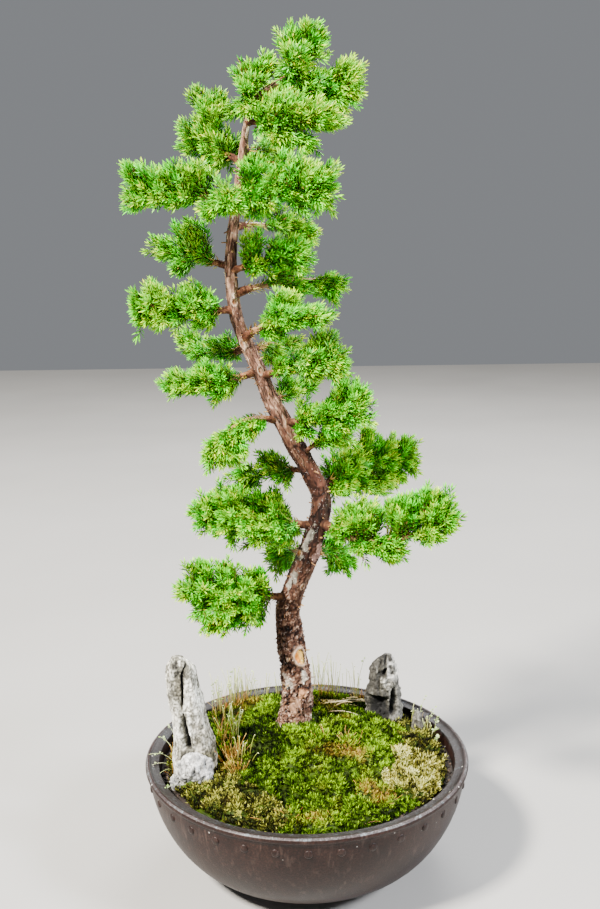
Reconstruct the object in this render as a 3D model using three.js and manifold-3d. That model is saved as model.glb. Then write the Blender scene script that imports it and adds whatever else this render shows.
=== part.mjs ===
// A juniper bonsai with an S-curved trunk in a round bowl pot, with moss and three stones.
// Millimetres, +Z up. The origin is on the pot's axis, in the plane that its feet stand on.
// +X is to the viewer's right and +Y is away from the viewer.
import * as THREE from 'three';
import { mergeVertices } from 'three/addons/utils/BufferGeometryUtils.js';
import Module from 'manifold-3d';

const wasm = await Module();
wasm.setup();

// ---- Driving dimensions ----------------------------------------------------------------

const gap = 0.3; // clearance between pieces that touch
const leastEdge = 0.03; // finer slivers left by joining are smoothed away

const pot = {
  height: 90,
  footHeight: 5,
  baseRadius: 66,
  shoulderRadius: 127.5,
  beadRadius: 2.5, // rounded outer edge of the rim
  lipRadius: 119, // inner edge of the flat rim
  lipHeight: 5,
  wall: 5.5,
  floor: 6,
  fullness: 1.7, // exponent of the bowl's outline; 2 would be a quarter ellipse
  sides: 40,
  outsideSteps: 7,
  insideSteps: 2,
  beadSteps: 2,
};
const foot = { count: 3, ring: 72, topRadius: 9, soleRadius: 7, sides: 8, firstAngle: 98, sunk: 3 };
const stud = { count: 34, radius: 3.2, rise: 1.3, height: 77, sides: 5, sunk: 0.8 };
const drainHole = { radius: 11 };
const screen = { width: 30, thickness: 1.2, cells: 3, bar: 2.4 };

// The soil is level near the wall and rises in a low cone to a flat top round the trunk.
// It has half as many sides as the pot, so that its corners fall on the pot's.
const soil = { edgeHeight: 79, topHeight: 96, edgeRadius: 98, topRadius: 30, sides: pot.sides / 2 };

const moss = {
  crest: [-6, 14], // the mound's highest place, beside the trunk
  crestHeight: 110,
  edgeHeight: 86,
  spread: 75,
  edgeRadius: 110,
  edgeWave: 4,
  edgeLobes: [5, 2], // waves round the edge, and of their height
  edgeShare: 0.4, // the edge's height, as a share of the thickness just inside it
  cushionRise: 2.4,
  cushionWidth: 15,
  leastThickness: 3,
  rings: 7,
  sectors: 32,
};
// Directions, in degrees, between which each colour of moss grows, and where it starts.
const mossPatches = {
  moss_olive_left: { from: 196, to: 262, innerRadius: 78 },
  moss_pale_right: { from: 318, to: 392, innerRadius: 72 },
};
const patchEdge = { steps: 7, wave: 7, turn: 2.4 }; // turn of the wave from step to step

const stoneGrain = 3.6; // width of the bumps on a stone

// Stones: [height, centre x, half width, half depth] from the foot up, about the foot.
const tallStone = {
  place: [-91, -31, 72],
  sides: 14,
  roughness: 0.9,
  levels: [
    [0, 2, 15, 12], [12, 2.5, 16.5, 13], [26, 2.5, 17, 13], [40, 3, 16.5, 12], [59, 0.5, 14, 11],
    [84, -3.3, 13.4, 10.5], [97, -5.2, 12.3, 9], [107, -6.4, 9.8, 6.5], [114, -7.5, 4, 3],
  ],
  cleft: { angle: -100, width: 15, depth: 0.42, bottom: 44, top: 100 },
  knob: { centre: [4, -10, 23], size: [16, 7.5, 14] },
};
const darkStone = {
  place: [66, 61, 74],
  sides: 14,
  roughness: 0.8,
  levels: [
    [0, 0, 17, 13], [14, 0.5, 16.5, 13], [31, 1, 15.6, 12], [42, 1, 14.6, 11],
    [56, 1.2, 12, 9], [67, 2.2, 8.8, 7], [73, 4, 3.6, 3],
  ],
  cleft: { angle: -48, width: 16, depth: 0.4, bottom: 8, top: 46 },
};
const smallStone = {
  place: [95, 40, 74],
  sides: 9,
  roughness: 0.6,
  levels: [[0, 0, 8, 7], [12, 0, 6.6, 6], [20, -0.4, 5.2, 5], [26, -0.8, 3.6, 3.6], [30, -1.1, 1.8, 1.8]],
  cleft: { angle: -100, width: 25, depth: 0.2, bottom: 6, top: 24 },
};

// Trunk, from the root stub in the soil to the last bend: [x, y, z, radius].
const trunkPoints = [
  [-10, 22, 60, 9], [-9, 22, 84, 12.6], [-9, 22, 106, 12.8], [-8, 22, 124, 12.3],
  [-8, 22, 150, 11.4], [-12, 23, 174, 10.8], [-14, 24, 200, 9.4], [-8, 24, 221, 8.6],
  [2, 24, 247, 8.6], [12, 24, 276, 7.8], [13, 24, 298, 7.4], [5, 22, 319, 6.8],
  [-8, 20, 343, 7.4], [-22, 18, 372, 6.5], [-34, 16, 401, 5.4], [-46, 14, 430, 4.9],
  [-52, 12, 461, 4.7], [-51, 9, 494, 4.2], [-45, 4, 533, 3.3], [-38, -2, 576, 2.4],
  [-34, -4, 591, 2.2], [-25, -6, 600, 2.0], [-11, -7, 608, 1.8],
];
const trunkSides = 10;
const trunkRings = 42;
const bark = {
  relief: 0.07, // share of the radius
  plate: 9, // height of a bark plate
  ridges: 3,
  fineRidges: 5,
  fineShare: 0.6,
  fineTwist: 1.7,
};

const limb = {
  sides: 4,
  tipRadius: 1.5,
  taper: 0.016, // radius gained per millimetre of the limb's length
  thickest: 0.8, // share of the trunk's radius
  flare: 1.25, // thickening where it leaves the trunk
  showing: 9, // bare wood between the bark and the first shoots
};

// Each limb leaves the trunk at a height, passes through a bend and ends at a tip, and bears
// pads of foliage: [share of the way along, height above the limb, half length, half height].
const limbs = [
  { name: 'low_left', from: 214, bend: [-44, 8, 220], tip: [-96, -14, 233],
    pads: [[0.6, -5, 30, 24], [0.9, 1, 15, 11], [0.7, -19, 17, 14], [0.33, 13, 12, 11]] },
  { name: 'low_back_left', from: 254, bend: [-12, 60, 240], tip: [-30, 88, 227],
    pads: [[0.77, -1, 15, 19]] },
  { name: 'low_back_right', from: 247, bend: [22, 55, 241], tip: [44, 80, 220],
    pads: [[0.7, -6, 14, 12], [0.5, 5, 10, 8]] },
  { name: 'mid_left', from: 272, bend: [-27, 26, 277], tip: [-90, 30, 282],
    pads: [[0.54, -4, 34, 21], [0.87, 0, 16, 16], [0.72, 17, 16, 11], [0.28, -8, 16, 13],
      [0.41, 15, 16, 11]] },
  { name: 'mid_right', from: 277, bend: [54, -20, 273], tip: [111, -46, 299],
    pads: [[0.38, 20, 20, 15], [0.69, 21, 16, 16], [0.9, 10, 13, 16], [0.24, 5, 12, 11],
      [0.59, -6, 14, 11], [0.83, 26, 9, 7], [0.41, -7, 12, 8]] },
  { name: 'mid_back_right', from: 301, bend: [38, 48, 314], tip: [93, 70, 319],
    pads: [[0.36, 3, 21, 16], [0.72, 1, 16, 16], [0.92, 4, 12, 13], [0.59, 20, 8, 11],
      [0.82, -21, 15, 10], [0.2, -2, 11, 11]] },
  { name: 'small_left', from: 318, bend: [-19, 34, 316], tip: [-52, 48, 303],
    pads: [[0.54, 6, 13, 10], [0.92, 0, 13, 13]] },
  { name: 'bow_left', from: 357, bend: [-46, 0, 362], tip: [-72, -14, 333],
    pads: [[0.44, -7, 14, 8], [0.72, -8, 15, 12], [0.92, -4, 10, 9], [0.6, -24, 14, 8]] },
  { name: 'half_right', from: 359, bend: [13, 0, 363], tip: [48, -20, 378],
    pads: [[0.28, -1, 11, 14], [0.64, 4, 16, 13], [0.9, 6, 9, 12], [0.66, -11, 11, 8],
      [0.72, 17, 9, 7]] },
  { name: 'twig_right', from: 329, bend: [9, 14, 341], tip: [36, 12, 345],
    pads: [[0.6, 0, 7, 6], [0.92, -1, 9, 9]] },
  { name: 'half_back', from: 376, bend: [-10, 55, 374], tip: [7, 85, 373],
    pads: [[0.51, 3, 12, 10], [0.97, 4, 10, 8]] },
  { name: 'long_left', from: 399, bend: [-61, 4, 392], tip: [-106, -6, 390],
    pads: [[0.54, 5, 18, 14], [0.82, 2, 15, 10], [0.41, -7, 10, 8]] },
  { name: 'back_left', from: 417, bend: [-69, 45, 410], tip: [-99, 70, 419],
    pads: [[0.36, 2, 14, 10], [0.72, -3, 14, 9], [0.9, 2, 10, 8]] },
  { name: 'fan_right', from: 394, bend: [-2, -6, 405], tip: [35, -14, 410],
    pads: [[0.67, 2, 16, 16], [0.9, -4, 10, 15], [0.36, 0, 10, 8], [0.79, 14, 10, 9]] },
  { name: 'back_fan', from: 413, bend: [-24, 50, 415], tip: [-1, 80, 408],
    pads: [[0.54, -10, 10, 10], [0.85, 0, 11, 8]] },
  { name: 'pale_right', from: 424, bend: [-19, -12, 438], tip: [25, -30, 441],
    pads: [[0.59, 3, 17, 12], [0.54, 14, 10, 8], [0.84, 0, 13, 9], [0.44, -9, 9, 5]] },
  { name: 'plume_left', from: 446, bend: [-87, 2, 447], tip: [-122, -6, 452],
    pads: [[0.43, 5, 18, 15], [0.81, 3, 15, 13], [0.33, -8, 9, 9], [0.72, -9, 15, 7]] },
  { name: 'ramp_right', from: 457, bend: [-20, 20, 465], tip: [35, 40, 463],
    pads: [[0.44, 7, 12, 7], [0.59, -5, 8, 9], [0.86, -6, 14, 12]] },
  { name: 'drop_right', from: 475, bend: [-29, 0, 481], tip: [2, -10, 489],
    pads: [[0.33, 13, 11, 10], [0.74, 3, 13, 11], [1.0, 1, 8, 10]] },
  { name: 'upper_left', from: 478, bend: [-77, 20, 484], tip: [-112, 36, 492],
    pads: [[0.5, 13, 14, 18], [0.86, 0, 11, 9], [0.36, 2, 9, 7], [0.66, -11, 7, 6]] },
  { name: 'back_right', from: 507, bend: [-23, 40, 507], tip: [12, 60, 500],
    pads: [[0.87, -4, 13, 13], [0.67, 4, 11, 9]] },
  { name: 'shoulder_left', from: 522, bend: [-75, -10, 530], tip: [-117, -24, 529],
    pads: [[0.86, 3, 14, 16], [0.62, 10, 13, 10], [0.42, 15, 13, 8], [0.64, -6, 9, 6]] },
  { name: 'front_left', from: 526, bend: [-51, -28, 528], tip: [-54, -44, 528],
    pads: [[0.8, -3, 10, 13]] },
  { name: 'front_right', from: 533, bend: [-14, -30, 532], tip: [29, -44, 536],
    pads: [[0.28, -8, 16, 14], [0.59, 6, 18, 17], [0.85, 2, 14, 14], [0.22, 14, 11, 9],
      [0.87, -14, 8, 6]] },
  { name: 'high_left', from: 553, bend: [-62, 16, 569], tip: [-74, 26, 602],
    pads: [[0.62, 13, 11, 10], [0.8, -12, 12, 12], [0.33, -2, 13, 15], [0.66, -28, 11, 8],
      [0.4, 18, 9, 9], [0.97, 0, 5, 7]] },
  { name: 'high_back', from: 561, bend: [-28, 40, 563], tip: [-13, 70, 569],
    pads: [[0.85, 0, 15, 11], [0.51, -11, 12, 11]] },
  { name: 'crown_left', from: 590, bend: [-37, 4, 602], tip: [-38, 10, 612],
    pads: [[0.7, 5, 10, 11], [1.0, 4, 6, 6]] },
  { name: 'crown_low', from: 580, bend: [-10, -16, 579], tip: [28, -26, 580],
    pads: [[0.49, 7, 18, 13], [0.79, 3, 15, 10], [0.23, 2, 11, 12], [0.44, -12, 13, 8]] },
  { name: 'crown_right', from: 596, bend: [1, -4, 600], tip: [43, -6, 612],
    pads: [[0.85, 2, 11, 13], [0.64, 0, 13, 12], [0.79, -17, 10, 10], [0.98, 1, 5, 8]] },
  { name: 'crown_back', from: 594, bend: [-21, 28, 601], tip: [-2, 50, 612],
    pads: [[0.72, 0, 15, 12], [1.0, 3, 11, 11]] },
  { name: 'crown_spire', from: 607, bend: [1, -8, 623], tip: [10, -10, 651],
    pads: [[0.72, -1, 7, 14], [0.33, -6, 13, 12], [0.2, 16, 9, 10]] },
];

const shoot = {
  stemRadius: 1.8, // at the start of a limb's own leafy stem
  stemSteps: 4,
  twigRadius: 0.75,
  mostWhorls: 4,
  fewestWhorls: 2,
  whorlSpacing: 3.3,
  needleLength: 6.5,
  needleLean: 42, // degrees that a needle leans from straight out towards the shoot's tip
  budReach: 3.5, // from the last whorl to the shoot's point
  bareReach: 1.5, // least length of bare twig before the first whorl
  leastLength: 15,
  sweep: 0.6, // how far a shoot starts behind its tip, as a share of its distance from the stem
  droop: 0.12, // how far the twig sags below its chord before it turns up
  padArea: 2300, // surface of a pad for each shoot, mm2
  tries: 14, // directions tried for each shoot
  apart: 1.6, // angle between a pad's shoots, times the root of their number
  backward: -0.3, // shoots don't point further back along the limb than this
};
// Room kept round the shoots of other limbs, and apart from the leafy shoots of the same one.
const reach = { needles: 4.4, twig: 1.1, bark: 1, spare: 0.4, sameLimb: 5.5, step: 3 };
const seeds = { pad: 11, turn: 31 };

// ---- Colours and finishes ----------------------------------------------------------------

const finishes = {
  pot: { color: 0x46403f, roughness: 0.62 },
  screen: { color: 0x1f2120, roughness: 0.8 },
  soil: { color: 0x2b211a, roughness: 0.95 },
  mossBright: { color: 0x6f9420, roughness: 0.95 },
  mossOlive: { color: 0x55682a, roughness: 0.95 },
  mossPale: { color: 0xa9ab6c, roughness: 0.95 },
  paleStone: { color: 0xb9b8b0, roughness: 0.9 },
  darkStone: { color: 0x85837c, roughness: 0.9 },
  bark: { color: 0x6b4a3c, roughness: 0.9 },
  foliage: { color: 0x3f8f2c, roughness: 0.7 },
};

// ---- Geometry helpers ----------------------------------------------------------------------

const radians = THREE.MathUtils.degToRad;

function point(x, y, z) {
  return new THREE.Vector3(x, y, z);
}

// The same number from 0 to 1 each time for the same seed.
function scatter(seed) {
  const wave = Math.sin(seed * 12.9898) * 43758.5453;
  return wave - Math.floor(wave);
}

function surface(corners, faces) {
  const geometry = new THREE.BufferGeometry();
  geometry.setAttribute('position', new THREE.Float32BufferAttribute(
    corners.flatMap((corner) => corner.toArray()), 3));
  geometry.setIndex(faces);
  return geometry;
}

// A skin over rings of corners, closed by flat ends, or by a point at the far end.
function loft(rings, tip = null) {
  const sides = rings[0].length;
  const last = (rings.length - 1) * sides;
  const corners = rings.flat();
  const faces = [];
  for (let ring = 0; ring < last; ring += sides) {
    for (let side = 0; side < sides; side++) {
      const here = ring + side;
      const next = ring + (side + 1) % sides;
      faces.push(here, next, next + sides, here, next + sides, here + sides);
    }
  }
  for (let side = 1; side < sides - 1; side++) {
    faces.push(0, side + 1, side);
  }
  if (tip) {
    for (let side = 0; side < sides; side++) {
      faces.push(last + side, last + (side + 1) % sides, corners.length);
    }
    corners.push(tip);
  } else {
    for (let side = 1; side < sides - 1; side++) {
      faces.push(last, last + side, last + side + 1);
    }
  }
  return surface(corners, faces);
}

// Two directions square to each other and to the way ahead, kept away from the chord so
// that they turn smoothly along a bend.
function crossing(ahead, chord) {
  const steep = Math.abs(chord.z) > Math.max(Math.abs(chord.x), Math.abs(chord.y));
  const aside = steep ? point(0, 1, 0) : point(0, 0, 1);
  const first = aside.cross(ahead).normalize();
  return [first, ahead.clone().cross(first)];
}

function ringAround(centre, ahead, chord, radius, sides, turn = 0) {
  const [first, second] = crossing(ahead, chord);
  return Array.from({ length: sides }, (_, side) => {
    const angle = turn + side * 2 * Math.PI / sides;
    const size = typeof radius === 'function' ? radius(angle) : radius;
    return centre.clone()
      .addScaledVector(first, size * Math.cos(angle))
      .addScaledVector(second, size * Math.sin(angle));
  });
}

// The curve that leaves start, passes through middle and ends at end.
function bendThrough(start, middle, end) {
  const before = start.distanceTo(middle);
  const share = before / (before + middle.distanceTo(end));
  const control = middle.clone()
    .addScaledVector(start, -((1 - share) ** 2))
    .addScaledVector(end, -(share ** 2))
    .divideScalar(2 * share * (1 - share));
  return new THREE.QuadraticBezierCurve3(start, control, end);
}

// A stick along part of a curve, thinning from one radius to another.
function stick(curve, fromShare, toShare, startRadius, endRadius, sides, steps) {
  const chord = curve.getPoint(toShare).sub(curve.getPoint(fromShare)).normalize();
  const rings = Array.from({ length: steps + 1 }, (_, step) => {
    const share = fromShare + (toShare - fromShare) * step / steps;
    const radius = startRadius + (endRadius - startRadius) * step / steps;
    return ringAround(curve.getPoint(share), curve.getTangent(share), chord, radius, sides);
  });
  return loft(rings);
}

// Low rounded bumps, a few of each width across the surface.
function bumps(x, y, z, width) {
  const coarse = Math.sin(x / width + 1.3) * Math.sin(y / width + 2.1 + z / width);
  const fine = Math.sin(2.3 * x / width + 4 - z / width) * Math.sin(2.7 * y / width + 0.6);
  return 0.65 * coarse + 0.35 * fine;
}

// ---- Joining and cutting -------------------------------------------------------------------

// A closed surface as a solid that can be joined and cut.
function solid(geometry) {
  const bare = new THREE.BufferGeometry();
  bare.setAttribute('position', geometry.getAttribute('position'));
  bare.setIndex(geometry.getIndex());
  const merged = mergeVertices(bare);
  const index = merged.getIndex().array;
  const faces = [];
  for (let i = 0; i < index.length; i += 3) {
    const [a, b, c] = index.slice(i, i + 3);
    if (a !== b && b !== c && c !== a) faces.push(a, b, c);
  }
  return new wasm.Manifold(new wasm.Mesh({
    numProp: 3,
    vertProperties: new Float32Array(merged.getAttribute('position').array),
    triVerts: new Uint32Array(faces),
  }));
}

function join(solids) {
  return solids.reduce((whole, piece) => whole.add(piece));
}

// The outer body alone: loose scraps go, and a hollow sealed inside is filled.
function wholeBody(joined) {
  return joined.decompose().reduce((big, piece) => (piece.volume() > big.volume() ? piece : big));
}

function named(name, joined, finish) {
  const mesh = wholeBody(joined).asOriginal().simplify(leastEdge).getMesh();
  const geometry = new THREE.BufferGeometry();
  geometry.setAttribute('position', new THREE.Float32BufferAttribute(mesh.vertProperties, 3));
  geometry.setIndex(new THREE.Uint32BufferAttribute(mesh.triVerts, 1));
  geometry.computeVertexNormals();
  const piece = new THREE.Mesh(geometry, new THREE.MeshStandardMaterial(finish));
  piece.name = name;
  return piece;
}

// ---- Pot, screen and soil ------------------------------------------------------------------

// The bowl's outline from its floor to its shoulder, as [radius, height] pairs.
function bowlOutline(low, high, steps) {
  return Array.from({ length: steps + 1 }, (_, step) => {
    const share = (step / steps) ** 2;
    const swell = Math.sqrt(1 - (1 - share) ** pot.fullness);
    return new THREE.Vector2(
      low.x + (high.x - low.x) * swell, low.y + (high.y - low.y) * share);
  });
}

function turned(outline, sides) {
  return new THREE.LatheGeometry(outline, sides).rotateX(Math.PI / 2);
}

const shoulderHeight = pot.height - 2 * pot.beadRadius;
const potFloor = pot.footHeight + pot.floor;

function insideOutline(shrink) {
  return bowlOutline(
    new THREE.Vector2(pot.baseRadius - pot.wall - shrink, potFloor + shrink),
    new THREE.Vector2(pot.lipRadius - shrink, pot.height - pot.lipHeight),
    pot.insideSteps);
}

function potBody() {
  const outside = bowlOutline(
    new THREE.Vector2(pot.baseRadius, pot.footHeight),
    new THREE.Vector2(pot.shoulderRadius, shoulderHeight),
    pot.outsideSteps);
  const bead = Array.from({ length: pot.beadSteps }, (_, step) => {
    const angle = -Math.PI / 2 + Math.PI * (step + 1) / pot.beadSteps;
    return new THREE.Vector2(
      pot.shoulderRadius + pot.beadRadius * Math.cos(angle),
      pot.height - pot.beadRadius + pot.beadRadius * Math.sin(angle));
  });
  const outline = [
    new THREE.Vector2(drainHole.radius, pot.footHeight),
    ...outside,
    ...bead,
    new THREE.Vector2(pot.lipRadius, pot.height),
    ...insideOutline(0).reverse(),
    new THREE.Vector2(drainHole.radius, potFloor),
    new THREE.Vector2(drainHole.radius, pot.footHeight),
  ];
  return solid(turned(outline, pot.sides));
}

function potFoot(angle) {
  const height = pot.footHeight + foot.sunk;
  const sole = new THREE.CylinderGeometry(foot.topRadius, foot.soleRadius, height, foot.sides);
  sole.rotateX(Math.PI / 2);
  sole.translate(foot.ring * Math.cos(angle), foot.ring * Math.sin(angle), height / 2);
  return solid(sole);
}

// A low nail head that stands out of the wall below the rim.
function potStud(angle) {
  const head = new THREE.ConeGeometry(stud.radius, stud.rise + stud.sunk, stud.sides);
  head.rotateZ(-Math.PI / 2);
  head.translate(wallRadius(stud.height) + (stud.rise - stud.sunk) / 2, 0, stud.height);
  head.rotateZ(angle);
  return solid(head);
}

function wallRadius(height) {
  const share = (height - pot.footHeight) / (shoulderHeight - pot.footHeight);
  const swell = Math.sqrt(1 - (1 - share) ** pot.fullness);
  return pot.baseRadius + (pot.shoulderRadius - pot.baseRadius) * swell;
}

function around(count, firstAngle) {
  return Array.from({ length: count }, (_, i) => firstAngle + i * 2 * Math.PI / count);
}

function buildPot() {
  const feet = around(foot.count, radians(foot.firstAngle)).map(potFoot);
  const studs = around(stud.count, Math.PI / stud.count).map(potStud);
  return join([potBody(), ...feet, ...studs]);
}

// A square of plastic mesh over the drainage hole: crossed bars, about its own centre.
function buildScreen() {
  const reachOut = (screen.width - screen.bar) / 2;
  const bars = [];
  for (let i = 0; i <= screen.cells; i++) {
    const offset = -reachOut + i * 2 * reachOut / screen.cells;
    const lengthwise = new THREE.BoxGeometry(screen.width, screen.bar, screen.thickness);
    const crosswise = new THREE.BoxGeometry(screen.bar, screen.width, screen.thickness);
    lengthwise.translate(0, offset, screen.thickness / 2);
    crosswise.translate(offset, 0, screen.thickness / 2);
    bars.push(lengthwise, crosswise);
  }
  return join(bars.map(solid));
}

function screenPocket() {
  const width = screen.width + 2 * gap;
  const height = screen.thickness + 2 * gap;
  const room = new THREE.BoxGeometry(width, width, height);
  room.translate(0, 0, potFloor + height / 2);
  return solid(room);
}

function soilHeight(radius) {
  const share = (soil.edgeRadius - radius) / (soil.edgeRadius - soil.topRadius);
  return soil.edgeHeight
    + (soil.topHeight - soil.edgeHeight) * THREE.MathUtils.clamp(share, 0, 1);
}

function soilBody() {
  const wall = insideOutline(gap);
  const above = wall.findIndex((place) => place.y > soil.edgeHeight);
  const [low, high] = [wall[above - 1], wall[above]];
  const outline = [
    new THREE.Vector2(0, potFloor + gap),
    ...wall.slice(0, above),
    low.clone().lerp(high, (soil.edgeHeight - low.y) / (high.y - low.y)),
    new THREE.Vector2(soil.edgeRadius, soil.edgeHeight),
    new THREE.Vector2(soil.topRadius, soil.topHeight),
    new THREE.Vector2(0, soil.topHeight),
  ];
  return solid(turned(outline, soil.sides));
}

// ---- Stones ----------------------------------------------------------------------------------

// A weathered stone: stacked rounded sections, each with a cleft down one side.
function stoneShape(stone, grow = 0) {
  const rings = stone.levels.map(([height, centreX, halfWidth, halfDepth]) => {
    const { angle, width, depth, bottom, top } = stone.cleft;
    const inCleft = height > bottom && height < top ? depth : 0;
    return Array.from({ length: stone.sides }, (_, side) => {
      const turn = side * 2 * Math.PI / stone.sides;
      const offCleft = Math.atan2(Math.sin(turn - radians(angle)), Math.cos(turn - radians(angle)));
      const cut = 1 - inCleft * Math.exp(-((offCleft / radians(width)) ** 2));
      const across = halfWidth * Math.cos(turn) * cut;
      const along = halfDepth * Math.sin(turn) * cut;
      const rough = 1 + grow / halfDepth
        + stone.roughness * bumps(across, along, height, stoneGrain) / halfDepth;
      return point(centreX + across * rough, along * rough, height);
    });
  });
  rings[0].forEach((corner) => { corner.z -= grow; });
  const [height, centreX] = stone.levels[stone.levels.length - 1];
  return loft(rings, point(centreX, 0, height + 1 + grow));
}

function stoneKnob(stone, grow = 0) {
  const { centre, size } = stone.knob;
  const lump = new THREE.IcosahedronGeometry(1, 1);
  const corners = lump.getAttribute('position');
  for (let i = 0; i < corners.count; i++) {
    const way = point(corners.getX(i), corners.getY(i), corners.getZ(i));
    const place = way.clone().multiply(point(...size));
    const out = grow + stone.roughness * bumps(place.x, place.y, place.z, stoneGrain);
    place.addScaledVector(way, out).add(point(...centre));
    corners.setXYZ(i, place.x, place.y, place.z);
  }
  return lump;
}

function stoneSolid(stone, grow = 0, moved = false) {
  const shapes = [stoneShape(stone, grow)];
  if (stone.knob) shapes.push(stoneKnob(stone, grow));
  if (moved) shapes.forEach((shape) => shape.translate(...stone.place));
  return join(shapes.map(solid));
}

// ---- Moss ------------------------------------------------------------------------------------

function mossHeight(x, y) {
  const [crestX, crestY] = moss.crest;
  const fromCrest = Math.hypot(x - crestX, y - crestY);
  const mound = (moss.crestHeight - moss.edgeHeight) * Math.exp(-((fromCrest / moss.spread) ** 2));
  return moss.edgeHeight + mound + moss.cushionRise * bumps(x, y, 0, moss.cushionWidth);
}

// Corners on rings about the pot's axis, from the middle out to the moss's wavy edge.
function mossRings(shares, heightAt) {
  return shares.flatMap((share) => Array.from({ length: moss.sectors }, (_, sector) => {
    const angle = sector * 2 * Math.PI / moss.sectors;
    const [lobes, swells] = moss.edgeLobes;
    const edge = moss.edgeRadius + moss.edgeWave * Math.sin(lobes * angle) * Math.sin(swells * angle);
    const radius = edge * share;
    const [x, y] = [radius * Math.cos(angle), radius * Math.sin(angle)];
    return point(x, y, heightAt(x, y, share));
  }));
}

// The mound: a bumpy top over a base that follows the soil.
function mossMound() {
  const under = (x, y) => soilHeight(Math.hypot(x, y)) + 2 * gap;
  const over = (x, y, share) => {
    const thickness = Math.max(mossHeight(x, y) - under(x, y), moss.leastThickness);
    return under(x, y) + thickness * (share === 1 ? moss.edgeShare : 1);
  };
  const topShares = Array.from({ length: moss.rings + 1 }, (_, ring) => ring / moss.rings);
  const baseShares = [0, soil.topRadius / moss.edgeRadius, soil.edgeRadius / moss.edgeRadius, 1];
  const top = mossRings(topShares, over);
  const base = mossRings(baseShares, under);
  const faces = [];
  const addLayer = (first, rings, upward) => {
    for (let here = first; here < first + rings * moss.sectors; here++) {
      const next = (here + 1 - first) % moss.sectors ? here + 1 : here + 1 - moss.sectors;
      const [out, outNext] = [here + moss.sectors, next + moss.sectors];
      if (upward) faces.push(here, out, outNext, here, outNext, next);
      else faces.push(here, outNext, out, here, next, outNext);
    }
  };
  addLayer(0, topShares.length - 1, true);
  addLayer(top.length, baseShares.length - 1, false);
  const topEdge = top.length - moss.sectors;
  const baseEdge = top.length + base.length - moss.sectors;
  for (let sector = 0; sector < moss.sectors; sector++) {
    const next = (sector + 1) % moss.sectors;
    faces.push(topEdge + sector, baseEdge + sector, baseEdge + next);
    faces.push(topEdge + sector, baseEdge + next, topEdge + next);
  }
  return solid(surface([...top, ...base], faces));
}

// An upright block over the part of the mound where one colour of moss grows.
function patchBlock({ from, to, innerRadius }, grow) {
  const { steps, wave, turn } = patchEdge;
  const angles = Array.from({ length: steps + 1 }, (_, step) => (
    radians(from + (to - from) * step / steps)));
  const place = (radius, angle) => [radius * Math.cos(angle), radius * Math.sin(angle)];
  const outer = angles.map((angle) => place(pot.shoulderRadius, angle));
  const inner = angles.map((angle, step) => (
    place(innerRadius + wave * Math.sin(step * turn), angle)));
  const outline = new wasm.CrossSection([[...outer, ...inner.reverse()]]);
  return outline.offset(grow, 'Miter').extrude(2 * pot.height);
}

// ---- Trunk and limbs ---------------------------------------------------------------------------

const trunkCurve = new THREE.CatmullRomCurve3(
  trunkPoints.map(([x, y, z]) => point(x, y, z)), false, 'catmullrom', 0.5);

function trunkRadius(share) {
  const place = share * (trunkPoints.length - 1);
  const before = Math.min(Math.floor(place), trunkPoints.length - 2);
  const [low, high] = [trunkPoints[before][3], trunkPoints[before + 1][3]];
  return low + (high - low) * (place - before);
}

function trunkShareAt(height) {
  const nearEnough = 1e-7;
  let [low, high] = [0, 1];
  while (high - low > nearEnough) {
    const middle = (low + high) / 2;
    if (trunkCurve.getPoint(middle).z < height) low = middle;
    else high = middle;
  }
  return low;
}

function trunkBody(grow = 0) {
  const rings = Array.from({ length: trunkRings + 1 }, (_, ring) => {
    const share = ring / trunkRings;
    const centre = trunkCurve.getPoint(share);
    const radius = trunkRadius(share);
    const climb = centre.z / bark.plate;
    const skin = (angle) => {
      const ridge = Math.sin(bark.ridges * angle + climb);
      const fine = bark.fineShare * Math.sin(bark.fineRidges * angle - climb * bark.fineTwist);
      return radius * (1 + bark.relief * (ridge + fine)) + grow;
    };
    return ringAround(centre, trunkCurve.getTangent(share), point(0, 0, 1), skin, trunkSides);
  });
  rings[0].forEach((corner) => { corner.z -= grow; });
  return solid(loft(rings));
}

function layOutLimb(limbPlan) {
  const share = trunkShareAt(limbPlan.from);
  const root = trunkCurve.getPoint(share);
  const curve = bendThrough(root, point(...limbPlan.bend), point(...limbPlan.tip));
  const length = curve.getLength();
  const woodEnd = (trunkRadius(share) + limb.showing) / length;
  const woodRadius = Math.min(
    limb.tipRadius + limb.taper * length, limb.thickest * trunkRadius(share));
  const stemStart = woodEnd + gap / length;
  return { ...limbPlan, curve, length, woodEnd, woodRadius, stemStart };
}

function limbWood({ curve, woodEnd, woodRadius }) {
  return solid(stick(curve, 0, woodEnd, woodRadius * limb.flare, woodRadius, limb.sides, 1));
}

// ---- Foliage -------------------------------------------------------------------------------------

// Room already taken, as balls, so that the shoots stay clear of each other.
const taken = [];

function claim(owner, { centre, radius }) {
  taken.push({ owner, centre, radius });
}

function clearOfOthers(owner, { centre, radius }) {
  return taken.every((ball) => ball.owner === owner
    || ball.centre.distanceTo(centre) > ball.radius + radius + reach.spare);
}

function clearOfSiblings(owner, { centre }) {
  return taken.every((ball) => ball.owner !== owner || ball.radius !== reach.needles
    || ball.centre.distanceTo(centre) > reach.sameLimb);
}

function whorlsOn(length) {
  const room = Math.floor((length - shoot.budReach - shoot.bareReach) / shoot.whorlSpacing);
  return Math.min(room, shoot.mostWhorls);
}

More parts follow.
